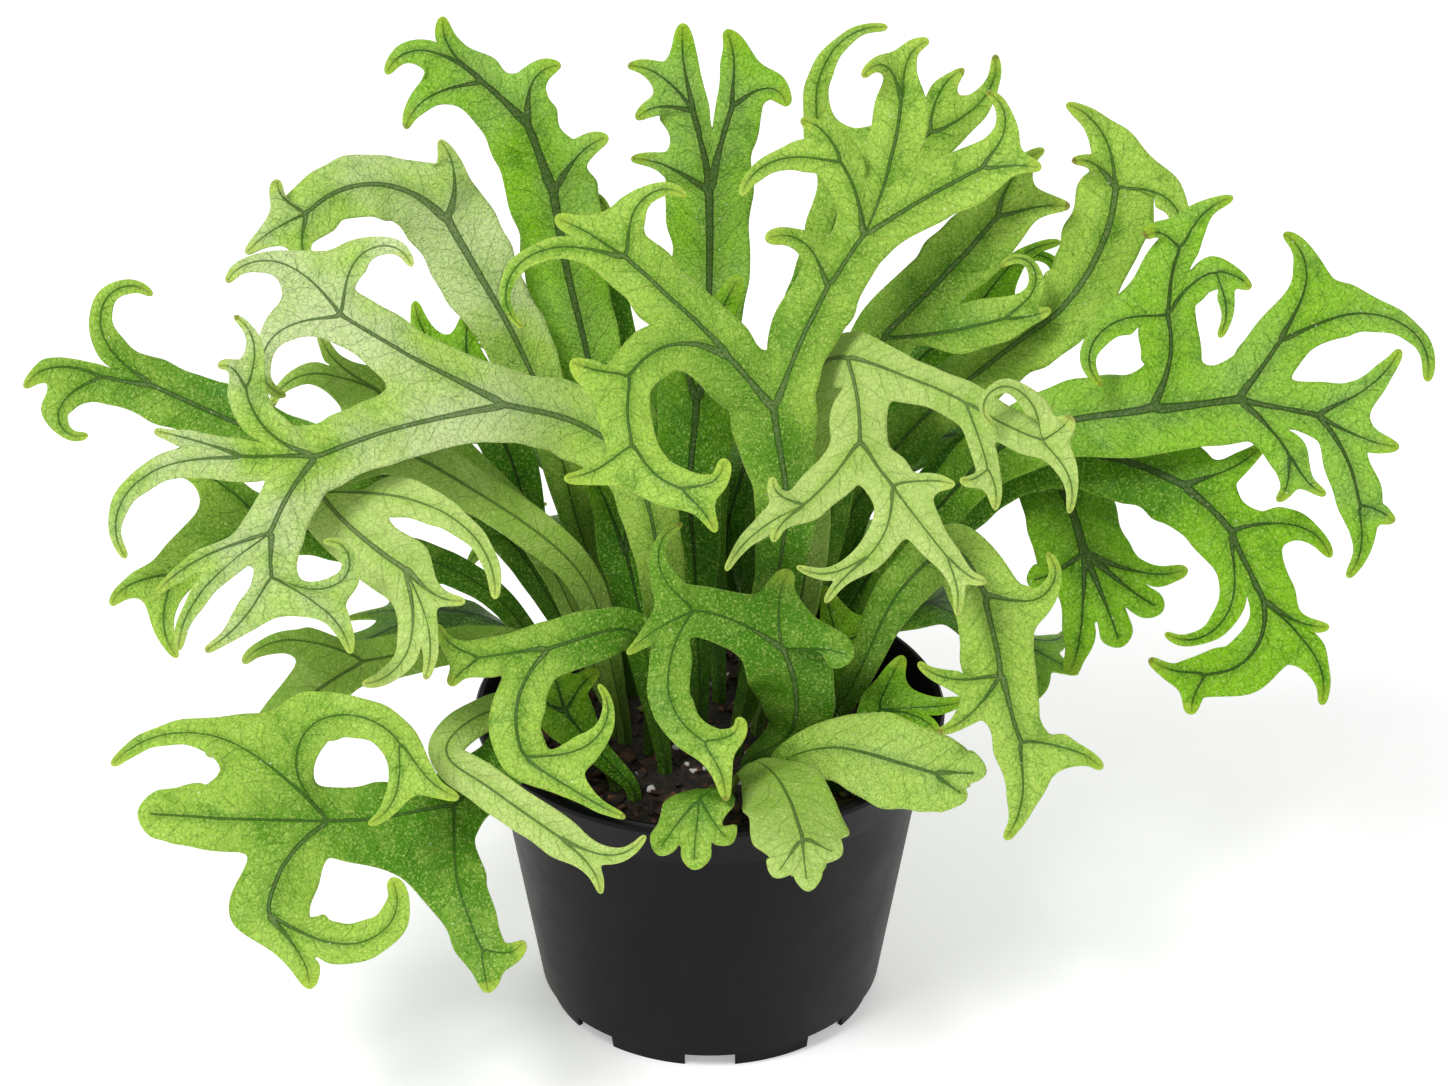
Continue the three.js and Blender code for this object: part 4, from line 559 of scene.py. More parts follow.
class Blade:
    def __init__(self, facing, phase):
        self.facing, self.phase = facing, phase
        self.bm = bmesh.new()
        self.layers = {fact: self.bm.verts.layers.float.new(fact) for fact in FACTS}
        self.weights = self.bm.verts.layers.deform.verify()

    def settle(self, vert, spot):
        vert.co = to_frame(spot.place)
        for fact in ("across", "margin", "run", "vein", "tip"):
            vert[self.layers[fact]] = getattr(spot, fact)
        vert[self.weights][0] = spot.thick / RIB_ROOT
        return vert

    def first_row(self, spots):
        row = [self.settle(self.bm.verts.new(), spot) for spot in spots]
        for a, b in zip(row, row[1:]):
            self.bm.edges.new((a, b))
        return row

    def next_row(self, row, spots):
        """Extrudes the row and sets the new one at the spots."""
        edges = [self.bm.edges.get((a, b)) for a, b in zip(row, row[1:])]
        made = bmesh.ops.extrude_edge_only(self.bm, edges=edges)["geom"]
        fresh = {v for v in made if isinstance(v, bmesh.types.BMVert)}
        grown = []
        for vert, spot in zip(row, spots):
            twin = next(e.other_vert(vert) for e in vert.link_edges if e.other_vert(vert) in fresh)
            grown.append(self.settle(twin, spot))
        return grown

    def fan_row(self, row, spots):
        """A row with more points than the last: all but the outer two on each side spring from its vein."""
        springs = [row[0], row[1]] + [row[2]] * (len(spots) - 4) + [row[3], row[4]]
        grown = [self.settle(self.bm.verts.new(), spot) for spot in spots]
        for (a, b), (c, d) in zip(zip(springs, springs[1:]), zip(grown, grown[1:])):
            corners = [a, b, d, c] if a is not b else [a, d, c]
            self.bm.faces.new(corners)
        return grown

    def frame(self, path, distance):
        point = path.point(distance)
        along = path.tangent(distance)
        normal = (self.facing - along * self.facing.dot(along)).normalized()
        return point, along, normal, normal.cross(along)

    def inside_room(self, path, distance):
        """How far a margin may stand out inside a hook before it folds over itself."""
        h = path.length * BEND_SHARE
        before = self.frame(path, distance - h)
        after = self.frame(path, distance + h)
        bend = math.asin(min(max(before[3].dot(after[1]), -1), 1))
        return INSIDE_SHARE * 2 * h / max(TINY, abs(bend)), bend > 0

    def wave(self, distance, side, shape):
        length, turns, shift = shape
        return math.sin(distance / length + turns * self.phase + shift * side)

    def margin_point(self, path, distance, side, half_width):
        point, along, normal, left = self.frame(path, distance)
        ripple = EDGE_RIPPLE * self.wave(distance, side, RIPPLE_WAVE)
        fall = half_width * (ripple + FRILL * self.wave(distance, side, FRILL_WAVE) - CUP)
        return point + left * (side * half_width) + normal * fall

    def side_width(self, path, distance, side, half_width, room):
        inside, is_left = self.inside_room(path, distance)
        width = min(half_width, room)
        if is_left == (side > 0):
            width = min(width, inside)
        return width

    def waved(self, distance, side, half_width, rough):
        swell = MARGIN_WAVE * self.wave(distance, side, SWELL_WAVE)
        teeth = SCALLOP * self.wave(distance, side, TEETH_WAVE)
        return half_width * (1 + rough * (swell + teeth))

    def pucker(self, path, distance, side, width):
        height = PUCKER * width / FULL_HALF_WIDTH * self.wave(distance, side, PUCKER_WAVE)
        return self.frame(path, distance)[2] * height

    def row(self, path, distances, half_width, rib, run, rooms=(math.inf, math.inf), tip=0.0, rough=0.0,
            wider=(0, 0)):
        """Five spots across the blade; the margins may run a little ahead of the vein or behind it."""
        at_left, at_vein, at_right = distances
        vein = Spot(path.point(at_vein), 0, 0, run + at_vein, vein_at(half_width), rib, tip)
        spots = [vein]
        for side, at, room, more in ((1, at_left, rooms[0], wider[0]), (-1, at_right, rooms[1], wider[1])):
            wide = self.waved(at, side, half_width, rough) + more
            width = self.side_width(path, at, side, wide, room)
            place = self.margin_point(path, at, side, width)
            edge = Spot(place, width, 1, run + at, vein.vein, min(rib, BLADE_EDGE), tip)
            middle = vein.between(edge, MIDDLE_SHARE)
            middle.thick = min(rib, MIDDLE_THICK)
            middle.place += self.pucker(path, at, side, width) * min(1, rough)
            spots = [edge, middle] + spots if side > 0 else spots + [middle, edge]
        return spots


def vein_at(half_width):
    """Half the width of the dark vein: a line in a lobe, a band of two or three millimetres in a trunk."""
    return max(VEIN_LEAST, VEIN_GAIN * half_width ** VEIN_POWER)


def rib_at(half_width):
    return min(max(RIB_BLADE * math.sqrt(half_width / FULL_HALF_WIDTH), BLADE_EDGE + RIB_RISE), RIB_BLADE)


# %% [markdown]
# Each lobe of a fork is a shoot: its own path and its own taper. One without lobes of its own is a tip,
# which winds ever tighter and narrows a little faster.

# %% Shoots
TIP_TAPER = 1.1
HOOK_GROWTH = 2
HOOK_TURN = 1.2


class Shoot:
    def __init__(self, board, start, lobe):
        right, up, out, self.turn, self.start_width, self.end_width = lobe[:6]
        self.children = lobe[6] if len(lobe) > 6 else []
        self.is_tip = not self.children
        growth = HOOK_GROWTH if self.is_tip else 1
        self.turn *= HOOK_TURN if self.is_tip else 1
        self.path = winding_path(start, board.place(right, up, out), self.turn, growth, board.to_viewer)

    def width_at(self, distance):
        rest = 1 - min(max(distance / self.path.length, 0), 1)
        shaped_rest = rest ** TIP_TAPER if self.is_tip else rest
        return self.end_width + (self.start_width - self.end_width) * shaped_rest


# %% [markdown]
# Where a blade forks, two neighbouring lobes stay webbed together until their margins part. That
# distance is found by walking up both veins. An outer lobe must start ahead of its parent's last row,
# and no lobe may be wider than half the way to its neighbour's vein.

# %% Where lobes part
WEB_LIMIT, WEB_TRIES = 0.6, 40
WEB_SHARE = 1.7
WEB_ROUND = 0.22
AHEAD, AHEAD_SPARE, NARROWING, LEAST_WIDTH = 1.5, 1, 0.9, 1
NEIGHBOUR_SHARE = 0.46


def parting_distance(blade, a, b):
    """How far up two lobes their margins part."""
    most = WEB_LIMIT * min(a.path.length, b.path.length)
    step = most / WEB_TRIES
    d = step
    while d < most:
        frame_a, frame_b = blade.frame(a.path, d), blade.frame(b.path, d)
        across = (frame_a[3] + frame_b[3]).normalized()
        if (frame_a[0] - frame_b[0]).dot(across) > WEB_SHARE * (a.width_at(d) + b.width_at(d)):
            break
        d += step
    return d


def crotch_place(blade, a, b, distance):
    """The bottom of the web between two lobes, and half the gap between their margins beside it."""
    point_a, along_a, _, left_a = blade.frame(a.path, distance)
    point_b, along_b, _, left_b = blade.frame(b.path, distance)
    edge_a = point_a - left_a * a.width_at(distance)
    edge_b = point_b + left_b * b.width_at(distance)
    half_gap = (edge_a - edge_b).length / 2
    ahead = (along_a + along_b).normalized()
    return edge_a.lerp(edge_b, 0.5) + ahead * half_gap * WEB_ROUND, half_gap


def room_ahead(blade, path, distance, side, start, heading, left, parent_half, half_width):
    """How wide an outermost lobe's first row may be, to stay ahead of its parent's last row."""
    point, _, _, across = blade.frame(path, distance)
    width = half_width
    while width > LEAST_WIDTH:
        edge = point + across * (side * width) - start
        if edge.dot(heading) > AHEAD or abs(edge.dot(left)) > parent_half + AHEAD_SPARE:
            break
        width *= NARROWING
    return width


def beside(shoots, i, distance):
    """The room on both sides of a lobe, up to half the way to its neighbours' veins."""
    rooms = []
    for other in (i - 1, i + 1):
        if 0 <= other < len(shoots):
            gap = (shoots[i].path.point(distance) - shoots[other].path.point(distance)).length
            rooms.append(NEIGHBOUR_SHARE * gap)
        else:
            rooms.append(math.inf)
    return rooms


# %% [markdown]
# Between the last common row and the parting the veins and the middle lines between them run like the
# ribs of a fan, with a cross row every few millimetres. The outer margins leave along the parent and
# arrive along the outer lobes.

# %% Forks
ROW_STEP = 4.6
WEB_FLARE = 0.8
BEARING_PROBE = 0.35
LONE_START = 0.2
SLOPE = 0.9
CROTCH_THICK = 0.4


def eased(a, slope_a, b, slope_b, t):
    """A smooth curve from a to b that leaves and arrives along the slopes."""
    t2, t3 = t * t, t * t * t
    return (a * (2 * t3 - 3 * t2 + 1) + slope_a * (t3 - 2 * t2 + t)
            + b * (3 * t2 - 2 * t3) + slope_b * (t3 - t2))


def grow_fork(blade, board, parent, parent_spots, parent_half, start, heading, lobes, run):
    left = blade.facing.cross(heading).normalized()
    shoots = [Shoot(board, start, lobe) for lobe in lobes]

    def bearing(shoot):
        probe = shoot.path.point(BEARING_PROBE * shoot.path.length) - start
        return -math.atan2(probe.dot(left), probe.dot(heading))

    shoots.sort(key=bearing)
    partings = [parting_distance(blade, a, b) for a, b in zip(shoots, shoots[1:])]
    webs = [crotch_place(blade, a, b, d) for a, b, d in zip(shoots, shoots[1:], partings)]
    crotches = [place for place, _ in webs]
    flares = [0, *(WEB_FLARE * half_gap for _, half_gap in webs), 0]
    begins = []
    for i, shoot in enumerate(shoots):
        near = partings[max(0, i - 1):i + 1]
        begins.append(sum(near) / len(near) if near else LONE_START * shoot.path.length)

    firsts = []
    for i, shoot in enumerate(shoots):
        begin = begins[i]
        half = shoot.width_at(begin)
        rooms = [room_ahead(blade, shoot.path, begin, side, start, heading, left, parent_half, half)
                 for side in (1, -1)]
        spots = blade.row(shoot.path, (begin,) * 3, half, rib_at(half), run, rooms)
        vein = spots[2]
        for place, end, quarter in ((i - 1, 0, 1), (i, 4, 3)):
            if 0 <= place < len(crotches):
                across = (crotches[place] - vein.place).length
                spots[end] = Spot(crotches[place], across, 1, run + partings[place], vein.vein, BLADE_EDGE)
                spots[quarter] = vein.between(spots[end], MIDDLE_SHARE)
                spots[quarter].thick = MIDDLE_THICK
        firsts.append(spots)

    longest = max(begins)
    steps = max(2, round(longest / ROW_STEP))
    row, parent_vein = parent, parent_spots[2]
    for step in range(1, steps + 1):
        t = step / steps
        spots = []
        for i, shoot in enumerate(shoots):
            first = firsts[i]
            vein = Spot(shoot.path.point(begins[i] * t), 0, 0, run + begins[i] * t, 0, 0)
            mixed = parent_vein.between(first[2], t)
            vein.vein, vein.thick = mixed.vein, mixed.thick
            sides = []
            for end, parting_index, outer in ((0, i - 1, i == 0), (4, i, i == len(shoots) - 1)):
                goal = first[end]
                if outer:
                    base = parent_spots[end]
                    reach = (goal.place - base.place).length
                    arriving = shoot.path.tangent(begins[i]) * reach * SLOPE
                    place = eased(base.place, heading * reach * SLOPE, goal.place, arriving, t)
                    side = base.between(goal, t)
                    side.place = place
                else:
                    a, b = shoots[parting_index], shoots[parting_index + 1]
                    d = partings[parting_index]
                    middle = a.path.point(d * t).lerp(b.path.point(d * t), 0.5)
                    settled = a.path.point(d).lerp(b.path.point(d), 0.5)
                    place = middle + (crotches[parting_index] - settled) * t * t
                    across = (place - vein.place).length
                    side = Spot(place, across, t * t, run + d * t, vein.vein, BLADE_EDGE + (1 - t))
                sides.append(side)
            middles = [vein.between(side, MIDDLE_SHARE) for side in sides]
            for middle, side in zip(middles, sides):
                middle.across = (middle.place - vein.place).length
                middle.thick = MIDDLE_THICK + CROTCH_THICK * (1 - t)
            if i > 0:
                spots += [middles[0], vein, middles[1], sides[1]]
            else:
                spots += [sides[0], middles[0], vein, middles[1], sides[1]]
        row = blade.fan_row(row, spots) if step == 1 and len(spots) > 5 else blade.next_row(row, spots)

    for i, shoot in enumerate(shoots):
        own = row[4 * i:4 * i + 5]
        left_at = partings[i - 1] if i > 0 else begins[i]
        right_at = partings[i] if i < len(shoots) - 1 else begins[i]
        grow_lobe(blade, board, shoots, i, own, (left_at, begins[i], right_at), run, flares[i:i + 2])


# %% [markdown]
# A lobe grows row by row from the crotches beside it. Its three tracks start at different distances,
# so those that lag catch up within a few rows. The web flares the first rows, and a tip ends in a point.

# %% Lobes
TIP_STEP = 3.7
ROW_TURN = 20
TIP_ROOM, LEAST_ROOM, LEAST_REST = 0.9, 1.0, 0.5
TIP_FRILL = 1.2
FLARE_LENGTH = 13
TIP_LENGTH = 22
POINTED = 3
CATCH_UP, HOLD_BACK, EVEN_AFTER = 0.35, 0.4, 3


def grow_lobe(blade, board, shoots, i, row, begin, run, flares):
    shoot = shoots[i]
    path = shoot.path
    stop = path.length - (max(TIP_ROOM * shoot.end_width, LEAST_ROOM) if shoot.is_tip else 0)
    rest = max(stop - begin[1], LEAST_REST)
    turned = abs(shoot.turn) * rest / path.length
    row_step = TIP_STEP if shoot.is_tip else ROW_STEP
    steps = max(2, round(rest / row_step), math.ceil(turned / ROW_TURN))
    at = list(begin)
    spots = None
    for step in range(1, steps + 1):
        goal = begin[1] + rest * step / steps
        at[1] = goal
        for k in (0, 2):
            behind = goal - at[k]
            if behind > 0:
                at[k] += behind * min(1, CATCH_UP + step / steps + (step > EVEN_AFTER))
            else:
                at[k] += HOLD_BACK * rest / steps if step < steps else max(0.0, goal - at[k])
            at[k] = min(at[k], path.length)
        if step == steps:
            at = [goal] * 3
        half = shoot.width_at(goal)
        pointed = shoot.is_tip and shoot.end_width < POINTED
        tip = max(0.0, 1 - (path.length - goal) / TIP_LENGTH) if pointed else 0.0
        rough = 1 + TIP_FRILL * tip if step < steps else 0
        wider = [flare * max(0.0, 1 - (at[k] - begin[k]) / FLARE_LENGTH) ** 2
                 for flare, k in zip(flares, (0, 2))]
        rooms = beside(shoots, i, goal)
        spots = blade.row(path, tuple(at), half, rib_at(half), run, rooms, tip, rough, wider)
        row = blade.next_row(row, spots)
    if shoot.is_tip:
        end = to_frame(path.point(path.length))
        bmesh.ops.pointmerge(blade.bm, verts=blade.next_row(row, spots), merge_co=end)
    else:
        grow_fork(blade, board, row, spots, shoot.end_width, path.point(path.length),
                  path.tangent(path.length), shoot.children, run + path.length)


# %% [markdown]
# No two fronds are quite the same green. Each carries the shade of its plan as one more fact on its
# points, and above 0.2 that shade also lays a painted sheen on its lobes. The finished blade is a sheet
# without thickness, which subdivision smooths and a solidify modifier makes as thick as each point's
# weight says.

# %% Whole fronds
SUBDIVISION = 2
STEM_HALF_WIDTH = 2.2
STEM_SINK = 12
COLLAR_LIFT = 4
FRONT = [0, 0.2, 1]
STEM_ROW_STEP = 1.3 * ROW_STEP
LEAST_ROWS = 5


def frond(plan, phase, material):
    board = Board(plan.get("azimuth", 0), plan.get("lean", BOARD_TILT))
    side, up, out = plan.get("facing", FRONT)
    facing = (board.right * side + board.up * up + board.to_viewer * out).normalized()
    blade = Blade(facing, phase)
    foot = Vector((*plan["root"], SOIL_Z - STEM_SINK))
    collar = Vector((*plan["root"], SOIL_Z + COLLAR_LIFT))
    knots = [collar, *(board.place(*knot[:3]) for knot in plan["stem"])]
    path = Path([foot, *stem_path(knots)])
    sink = (collar - foot).length
    grown = path.length - sink
    widths = [STEM_HALF_WIDTH, *(knot[3] for knot in plan["stem"])]

    def width_at(distance):
        t = min(max((distance - sink) / grown, 0), 1) * (len(widths) - 1)
        i = min(len(widths) - 2, int(t))
        return widths[i] + (widths[i + 1] - widths[i]) * (t - i)

    row = blade.first_row(blade.row(path, (0,) * 3, STEM_HALF_WIDTH, RIB_ROOT, 0))
    steps = max(LEAST_ROWS, round(grown / STEM_ROW_STEP))
    for step in range(steps + 1):
        d = sink + grown * step / steps
        risen = step / steps
        rib = RIB_ROOT + (RIB_BLADE - RIB_ROOT) * math.sqrt(risen)
        rough = risen if step < steps else 0
        spots = blade.row(path, (d,) * 3, width_at(d), rib, 0, rough=rough)
        row = blade.next_row(row, spots)
    grow_fork(blade, board, row, spots, widths[-1], path.point(path.length),
              path.tangent(path.length), plan["lobes"], path.length)

    run, along, shade, vein = (blade.layers[fact] for fact in ("run", "along", "shade", "vein"))
    reach = max(v[run] for v in blade.bm.verts)
    for v in blade.bm.verts:
        v[along] = v[run] / reach
        v[shade] = plan.get("shade", 0)
        v[vein] *= plan.get("veins", 1)
    bmesh.ops.recalc_face_normals(blade.bm, faces=blade.bm.faces)
    piece = shaped(plan["name"] + "_blade", blade.bm, material)
    group = piece.vertex_groups.new(name="thickness")
    smooth = piece.modifiers.new("Round", "SUBSURF")
    smooth.levels = smooth.render_levels = SUBDIVISION
    wall = piece.modifiers.new("Thickness", "SOLIDIFY")
    wall.thickness = RIB_ROOT * MM
    wall.offset = 0
    wall.vertex_group = group.name
    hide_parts(plan["name"])
    return piece


# %% [markdown]
# Materials are node trees. A small helper keeps them readable: it adds a node, fills its inputs with
# numbers or links, and hands back its output.

# %% Node helper
class Nodes:
    def __init__(self, tree):
        self.tree = tree

    def add(self, kind, inputs=(), output=0, **settings):
        node = self.tree.nodes.new(kind)
        for name, value in settings.items():
            setattr(node, name, value)
        for key, value in dict(inputs).items():
            self.feed(node.inputs[key], value)
        return node.outputs[output]

    def feed(self, socket, value):
        if isinstance(value, bpy.types.NodeSocket):
            self.tree.links.new(value, socket)
        else:
            socket.default_value = value

    def math(self, operation, a, b=0.0, c=0.0):
        return self.add("ShaderNodeMath", {0: a, 1: b, 2: c}, operation=operation)

    def times(self, a, b):
        return self.math("MULTIPLY", a, b)

    def plus(self, a, b):
        return self.math("ADD", a, b)

    def minus(self, a, b):
        return self.math("SUBTRACT", a, b)

    def scaled(self, a, gain, offset):
        return self.math("MULTIPLY_ADD", a, gain, offset)

    def step(self, value, low, high):
        """0 below low and 1 above high, with a smooth rise between; high below low turns it round."""
        return self.add("ShaderNodeMapRange", {"Value": value, "From Min": low, "From Max": high},
                        interpolation_type="SMOOTHSTEP")

    def mix(self, share, a, b, blend="MIX"):
        node = self.tree.nodes.new("ShaderNodeMix")
        node.data_type, node.blend_type = "RGBA", blend
        self.feed(node.inputs[0], share)
        self.feed(node.inputs[6], a)
        self.feed(node.inputs[7], b)
        return node.outputs[2]

    def noise(self, vector, scale, detail=3.0, roughness=0.55, output="Fac"):
        return self.add("ShaderNodeTexNoise", {"Vector": vector, "Scale": scale, "Detail": detail,
                                               "Roughness": roughness}, output=output)

    def fact(self, name):
        return self.add("ShaderNodeAttribute", output="Fac", attribute_name=name)

    def place(self):
        return self.add("ShaderNodeTexCoord", output="Object")

    def bump(self, height, strength, distance):
        return self.add("ShaderNodeBump", {"Height": height, "Strength": strength, "Distance": distance})


def group(name, inputs, outputs):
    """An empty shader group with float or colour sockets, and its input and output nodes."""
    tree = bpy.data.node_groups.new(name, "ShaderNodeTree")
    kinds = {float: "NodeSocketFloat", tuple: "NodeSocketColor"}
    for label, value in inputs.items():
        socket = tree.interface.new_socket(label, in_out="INPUT", socket_type=kinds[type(value)])
        socket.default_value = value
    for label, kind in outputs.items():
        tree.interface.new_socket(label, in_out="OUTPUT", socket_type=kinds[kind])
    return Nodes(tree), tree.nodes.new("NodeGroupInput").outputs, tree.nodes.new("NodeGroupOutput").inputs


def material(name):
    made = bpy.data.materials.new(name)
    made.use_nodes = True
    made.node_tree.nodes.clear()
    nodes = Nodes(made.node_tree)
    shader = made.node_tree.nodes.new("ShaderNodeBsdfPrincipled")
    output = made.node_tree.nodes.new("ShaderNodeOutputMaterial")
    made.node_tree.links.new(shader.outputs[0], output.inputs[0])
    return made, nodes, shader.inputs


def use_group(nodes, tree, **inputs):
    node = nodes.tree.nodes.new("ShaderNodeGroup")
    node.node_tree = tree
    for label, value in inputs.items():
        nodes.feed(node.inputs[label.replace("_", " ")], value)
    return node.outputs


# %% [markdown]
# A fern blade has one dark vein down each lobe, faint side veins that slant towards the margin, and a
# fine net between them. The blade carries its distance from the vein, so the vein is simply where that
# number is small: a thin dark line in a lobe, and in the trunk a grey green band between two dark edges.
# The slanted veins are stripes of run plus distance, and the net is the edges of Voronoi cells a few
# millimetres wide. All leave as masks and as one height for the bump.

# %% Vein pattern
def vein_pattern():
    nodes, into, out = group(
        "Leaf veins",
        {"Across": 0.0, "Margin": 0.0, "Run": 0.0, "Vein": 1.0, "Side Spacing": 8.0, "Net Scale": 420.0},
        {"Main": float, "Band": float, "Halo": float, "Side": float, "Net": float, "Height": float})
    place = nodes.place()
    wobble = nodes.noise(place, 120, 2)
    rough_edge = nodes.scaled(nodes.noise(place, 700, 2), 0.16, -0.08)
    across = nodes.plus(into["Across"], rough_edge)
    main = nodes.step(across, nodes.plus(into["Vein"], 0.1), nodes.minus(into["Vein"], 0.08))
    inner = nodes.minus(into["Vein"], 0.2)
    inside = nodes.step(across, inner, nodes.minus(inner, 0.18))
    band = nodes.times(inside, nodes.step(into["Vein"], 0.36, 0.6))
    outer = nodes.scaled(into["Vein"], 5.0, 1.5)
    halo = nodes.step(into["Across"], outer, into["Vein"])
    slanted = nodes.scaled(into["Across"], -0.95, into["Run"])
    bent = nodes.scaled(wobble, 9.0, slanted)
    turns = nodes.math("FRACT", nodes.math("DIVIDE", bent, into["Side Spacing"]))
    off = nodes.math("ABSOLUTE", nodes.minus(turns, 0.5))
    line = nodes.step(off, 0.05, 0.01)
    fade = nodes.times(nodes.step(into["Margin"], 1.0, 0.55), nodes.step(into["Margin"], 0.02, 0.1))
    side = nodes.times(line, fade)
    cells = nodes.add("ShaderNodeTexVoronoi", {"Vector": place, "Scale": into["Net Scale"]},
                      output="Distance", feature="DISTANCE_TO_EDGE")
    net = nodes.step(cells, 0.1, 0.0)
    low = nodes.times(net, -0.25)
    low = nodes.scaled(side, -0.35, low)
    height = nodes.scaled(main, -0.8, low)
    height = nodes.scaled(band, 1.3, height)
    for label, value in (("Main", main), ("Band", band), ("Halo", halo), ("Side", side), ("Net", net),
                         ("Height", height)):
        nodes.feed(out[label], value)
    return nodes.tree


# %% [markdown]
# Leaf colour runs from deep green at the stem to lime at the tips, with a thin pale margin, cloudy
# patches, short pale flecks like tiny worms, a few white and dark specks, and tips that turn yellow and
# then brown. The stems turn darker towards the soil, partly their own darker green and partly painted
# shade inside the crowded plant, and fronds with a shade above 0.2 get a painted whitish sheen on their
# lobes. One group paints all of it as layers, each with a mask, a share and a tint. Every tone of frond
# brings its own two greens and two vein colours.

# %% Leaf colour
# The second colour here is a painted whitish sheen.
PALE, PAINTED_SHEEN = (0.62, 0.76, 0.22, 1.0), (0.6, 0.7, 0.36, 1.0)
# The first colour darkens the stems near the soil: partly their own darker green, partly painted shade.
DARK_STEM_AND_SHADE, YELLOW, BROWN = (0.03, 0.075, 0.008, 1.0), (0.5, 0.6, 0.05, 1.0), (0.16, 0.075, 0.02, 1.0)
CHALK, SPECK = (0.8, 0.86, 0.66, 1.0), (0.05, 0.06, 0.01, 1.0)


def leaf_colouring():
    nodes, into, out = group(
        "Leaf colour",
        {"Base": (0.1, 0.3, 0.03, 1.0), "Young": (0.3, 0.5, 0.1, 1.0), "Line": (0.05, 0.12, 0.03, 1.0),
         "Trunk": (0.15, 0.2, 0.09, 1.0), "Along": 0.0, "Margin": 0.0, "Tip": 0.0, "Shade": 0.0,
         "Main": 0.0, "Band": 0.0, "Halo": 0.0, "Side": 0.0, "Net": 0.0},
        {"Colour": tuple, "Flecks": float, "Cloud": float, "Grain": float})
    place, along, tip = nodes.place(), into["Along"], into["Tip"]
    base, young, line, trunk = (into[label] for label in ("Base", "Young", "Line", "Trunk"))
    cloud, patch = nodes.noise(place, 26, 4), nodes.noise(place, 95, 3)
    grain, worms = nodes.noise(place, 1300, 3), nodes.noise(place, 620, 1)
    dots = nodes.add("ShaderNodeTexVoronoi", {"Vector": place, "Scale": 260.0}, output="Distance")
    spread = nodes.plus(nodes.plus(along, nodes.scaled(cloud, 0.9, -0.45)), into["Shade"])
    pale = nodes.mix(0.5, young, PALE)
    # Mask of the painted whitish sheen: on the lobes of fronds with a shade above 0.2.
    painted_sheen_mask = nodes.times(nodes.step(into["Shade"], 0.2, 0.55), nodes.step(along, 0.3, 0.65))
    thin = nodes.step(nodes.math("ABSOLUTE", nodes.minus(worms, 0.5)), 0.03, 0.008)
    flecks = nodes.times(nodes.times(thin, nodes.step(grain, 0.46, 0.56)), nodes.step(patch, 0.36, 0.56))
    speckled = nodes.mix(nodes.times(nodes.step(grain, 0.3, 0.65), 0.8), line, trunk)
    layers = [
        (nodes.step(patch, 0.45, 0.75), 0.4, young),
        (nodes.step(patch, 0.5, 0.25), 0.65, base),
        (into["Halo"], 0.5, base),
        (nodes.step(into["Margin"], 0.94, 0.99), 0.22, pale),
        # Painted whitish sheen on the lobes of the paler fronds.
        (painted_sheen_mask, nodes.step(cloud, 0.3, 0.65), PAINTED_SHEEN),
        (nodes.step(grain, 0.5, 0.7), 0.6, pale),
        (nodes.step(grain, 0.5, 0.28), 0.6, base),
        (into["Net"], 0.16, base),
        (into["Side"], 0.22, line),
        (flecks, 0.6, pale),
        (into["Main"], 0.82, nodes.mix(into["Band"], line, speckled)),
        # Stems darker towards the soil: partly their own darker green, partly painted shade inside the
        # plant.
        (nodes.step(along, 0.44, 0.04), 0.75, DARK_STEM_AND_SHADE),
        (nodes.step(tip, 0.55, 0.98), 0.6, nodes.mix(0.55, young, YELLOW)),
        (nodes.step(nodes.scaled(patch, 0.12, tip), 1.0, 1.05), 0.85, BROWN),
        (nodes.times(nodes.step(dots, 0.11, 0.05), nodes.step(patch, 0.5, 0.62)), 0.6, CHALK),
        (nodes.times(nodes.step(dots, 0.08, 0.04), nodes.step(patch, 0.4, 0.3)), 0.7, SPECK),
    ]
    colour = nodes.mix(nodes.step(spread, 0.4, 0.92), base, young)
    for mask, share, tint in layers:
        colour = nodes.mix(nodes.times(mask, share), colour, tint)
    for label, value in (("Colour", colour), ("Flecks", flecks), ("Cloud", patch), ("Grain", grain)):
        nodes.feed(out[label], value)
    return nodes.tree


LEAF_VEINS = vein_pattern()
LEAF_COLOUR = leaf_colouring()
print("colour group with", len(LEAF_COLOUR.nodes), "nodes")

# %% [markdown]
# The real blades are a little waxy and let some light through. Every tone of leaf shares one material
# recipe: the facts on the blade's points feed the two groups, and the noise and the veins also make the
# bumps. Three tones are enough, because each frond's own shade varies them.

# %% Leaf materials
LEAF_SKIN = {
    "Specular IOR Level": 0.17, "Coat Weight": 0.03, "Coat Roughness": 0.3, "Subsurface Weight": 0.12,
    "Subsurface Radius": (0.0015, 0.003, 0.0006), "Subsurface Scale": 1.0,
}


def leaf_material(name, base, young, line, trunk):
    made, nodes, shader = material(name)
    facts = {fact: nodes.fact(fact) for fact in FACTS}
    veins = use_group(nodes, LEAF_VEINS, Across=facts["across"], Margin=facts["margin"],
                      Run=facts["run"], Vein=facts["vein"])
    masks = {label: veins[label] for label in ("Main", "Band", "Halo", "Side", "Net")}
    colours = use_group(nodes, LEAF_COLOUR, Base=base, Young=young, Line=line, Trunk=trunk,
                        Along=facts["along"], Margin=facts["margin"], Tip=facts["tip"],
                        Shade=facts["shade"], **masks)
    nodes.feed(shader["Base Color"], colours["Colour"])
    nodes.feed(shader["Roughness"], nodes.scaled(colours["Cloud"], 0.2, 0.34))
    height = nodes.scaled(colours["Cloud"], 0.9, veins["Height"])
    height = nodes.scaled(colours["Flecks"], 0.5, height)
    height = nodes.scaled(colours["Grain"], 0.5, height)
    nodes.feed(shader["Normal"], nodes.bump(height, 0.8, 0.0008))
    for label, value in LEAF_SKIN.items():
        nodes.feed(shader[label], value)
    return made


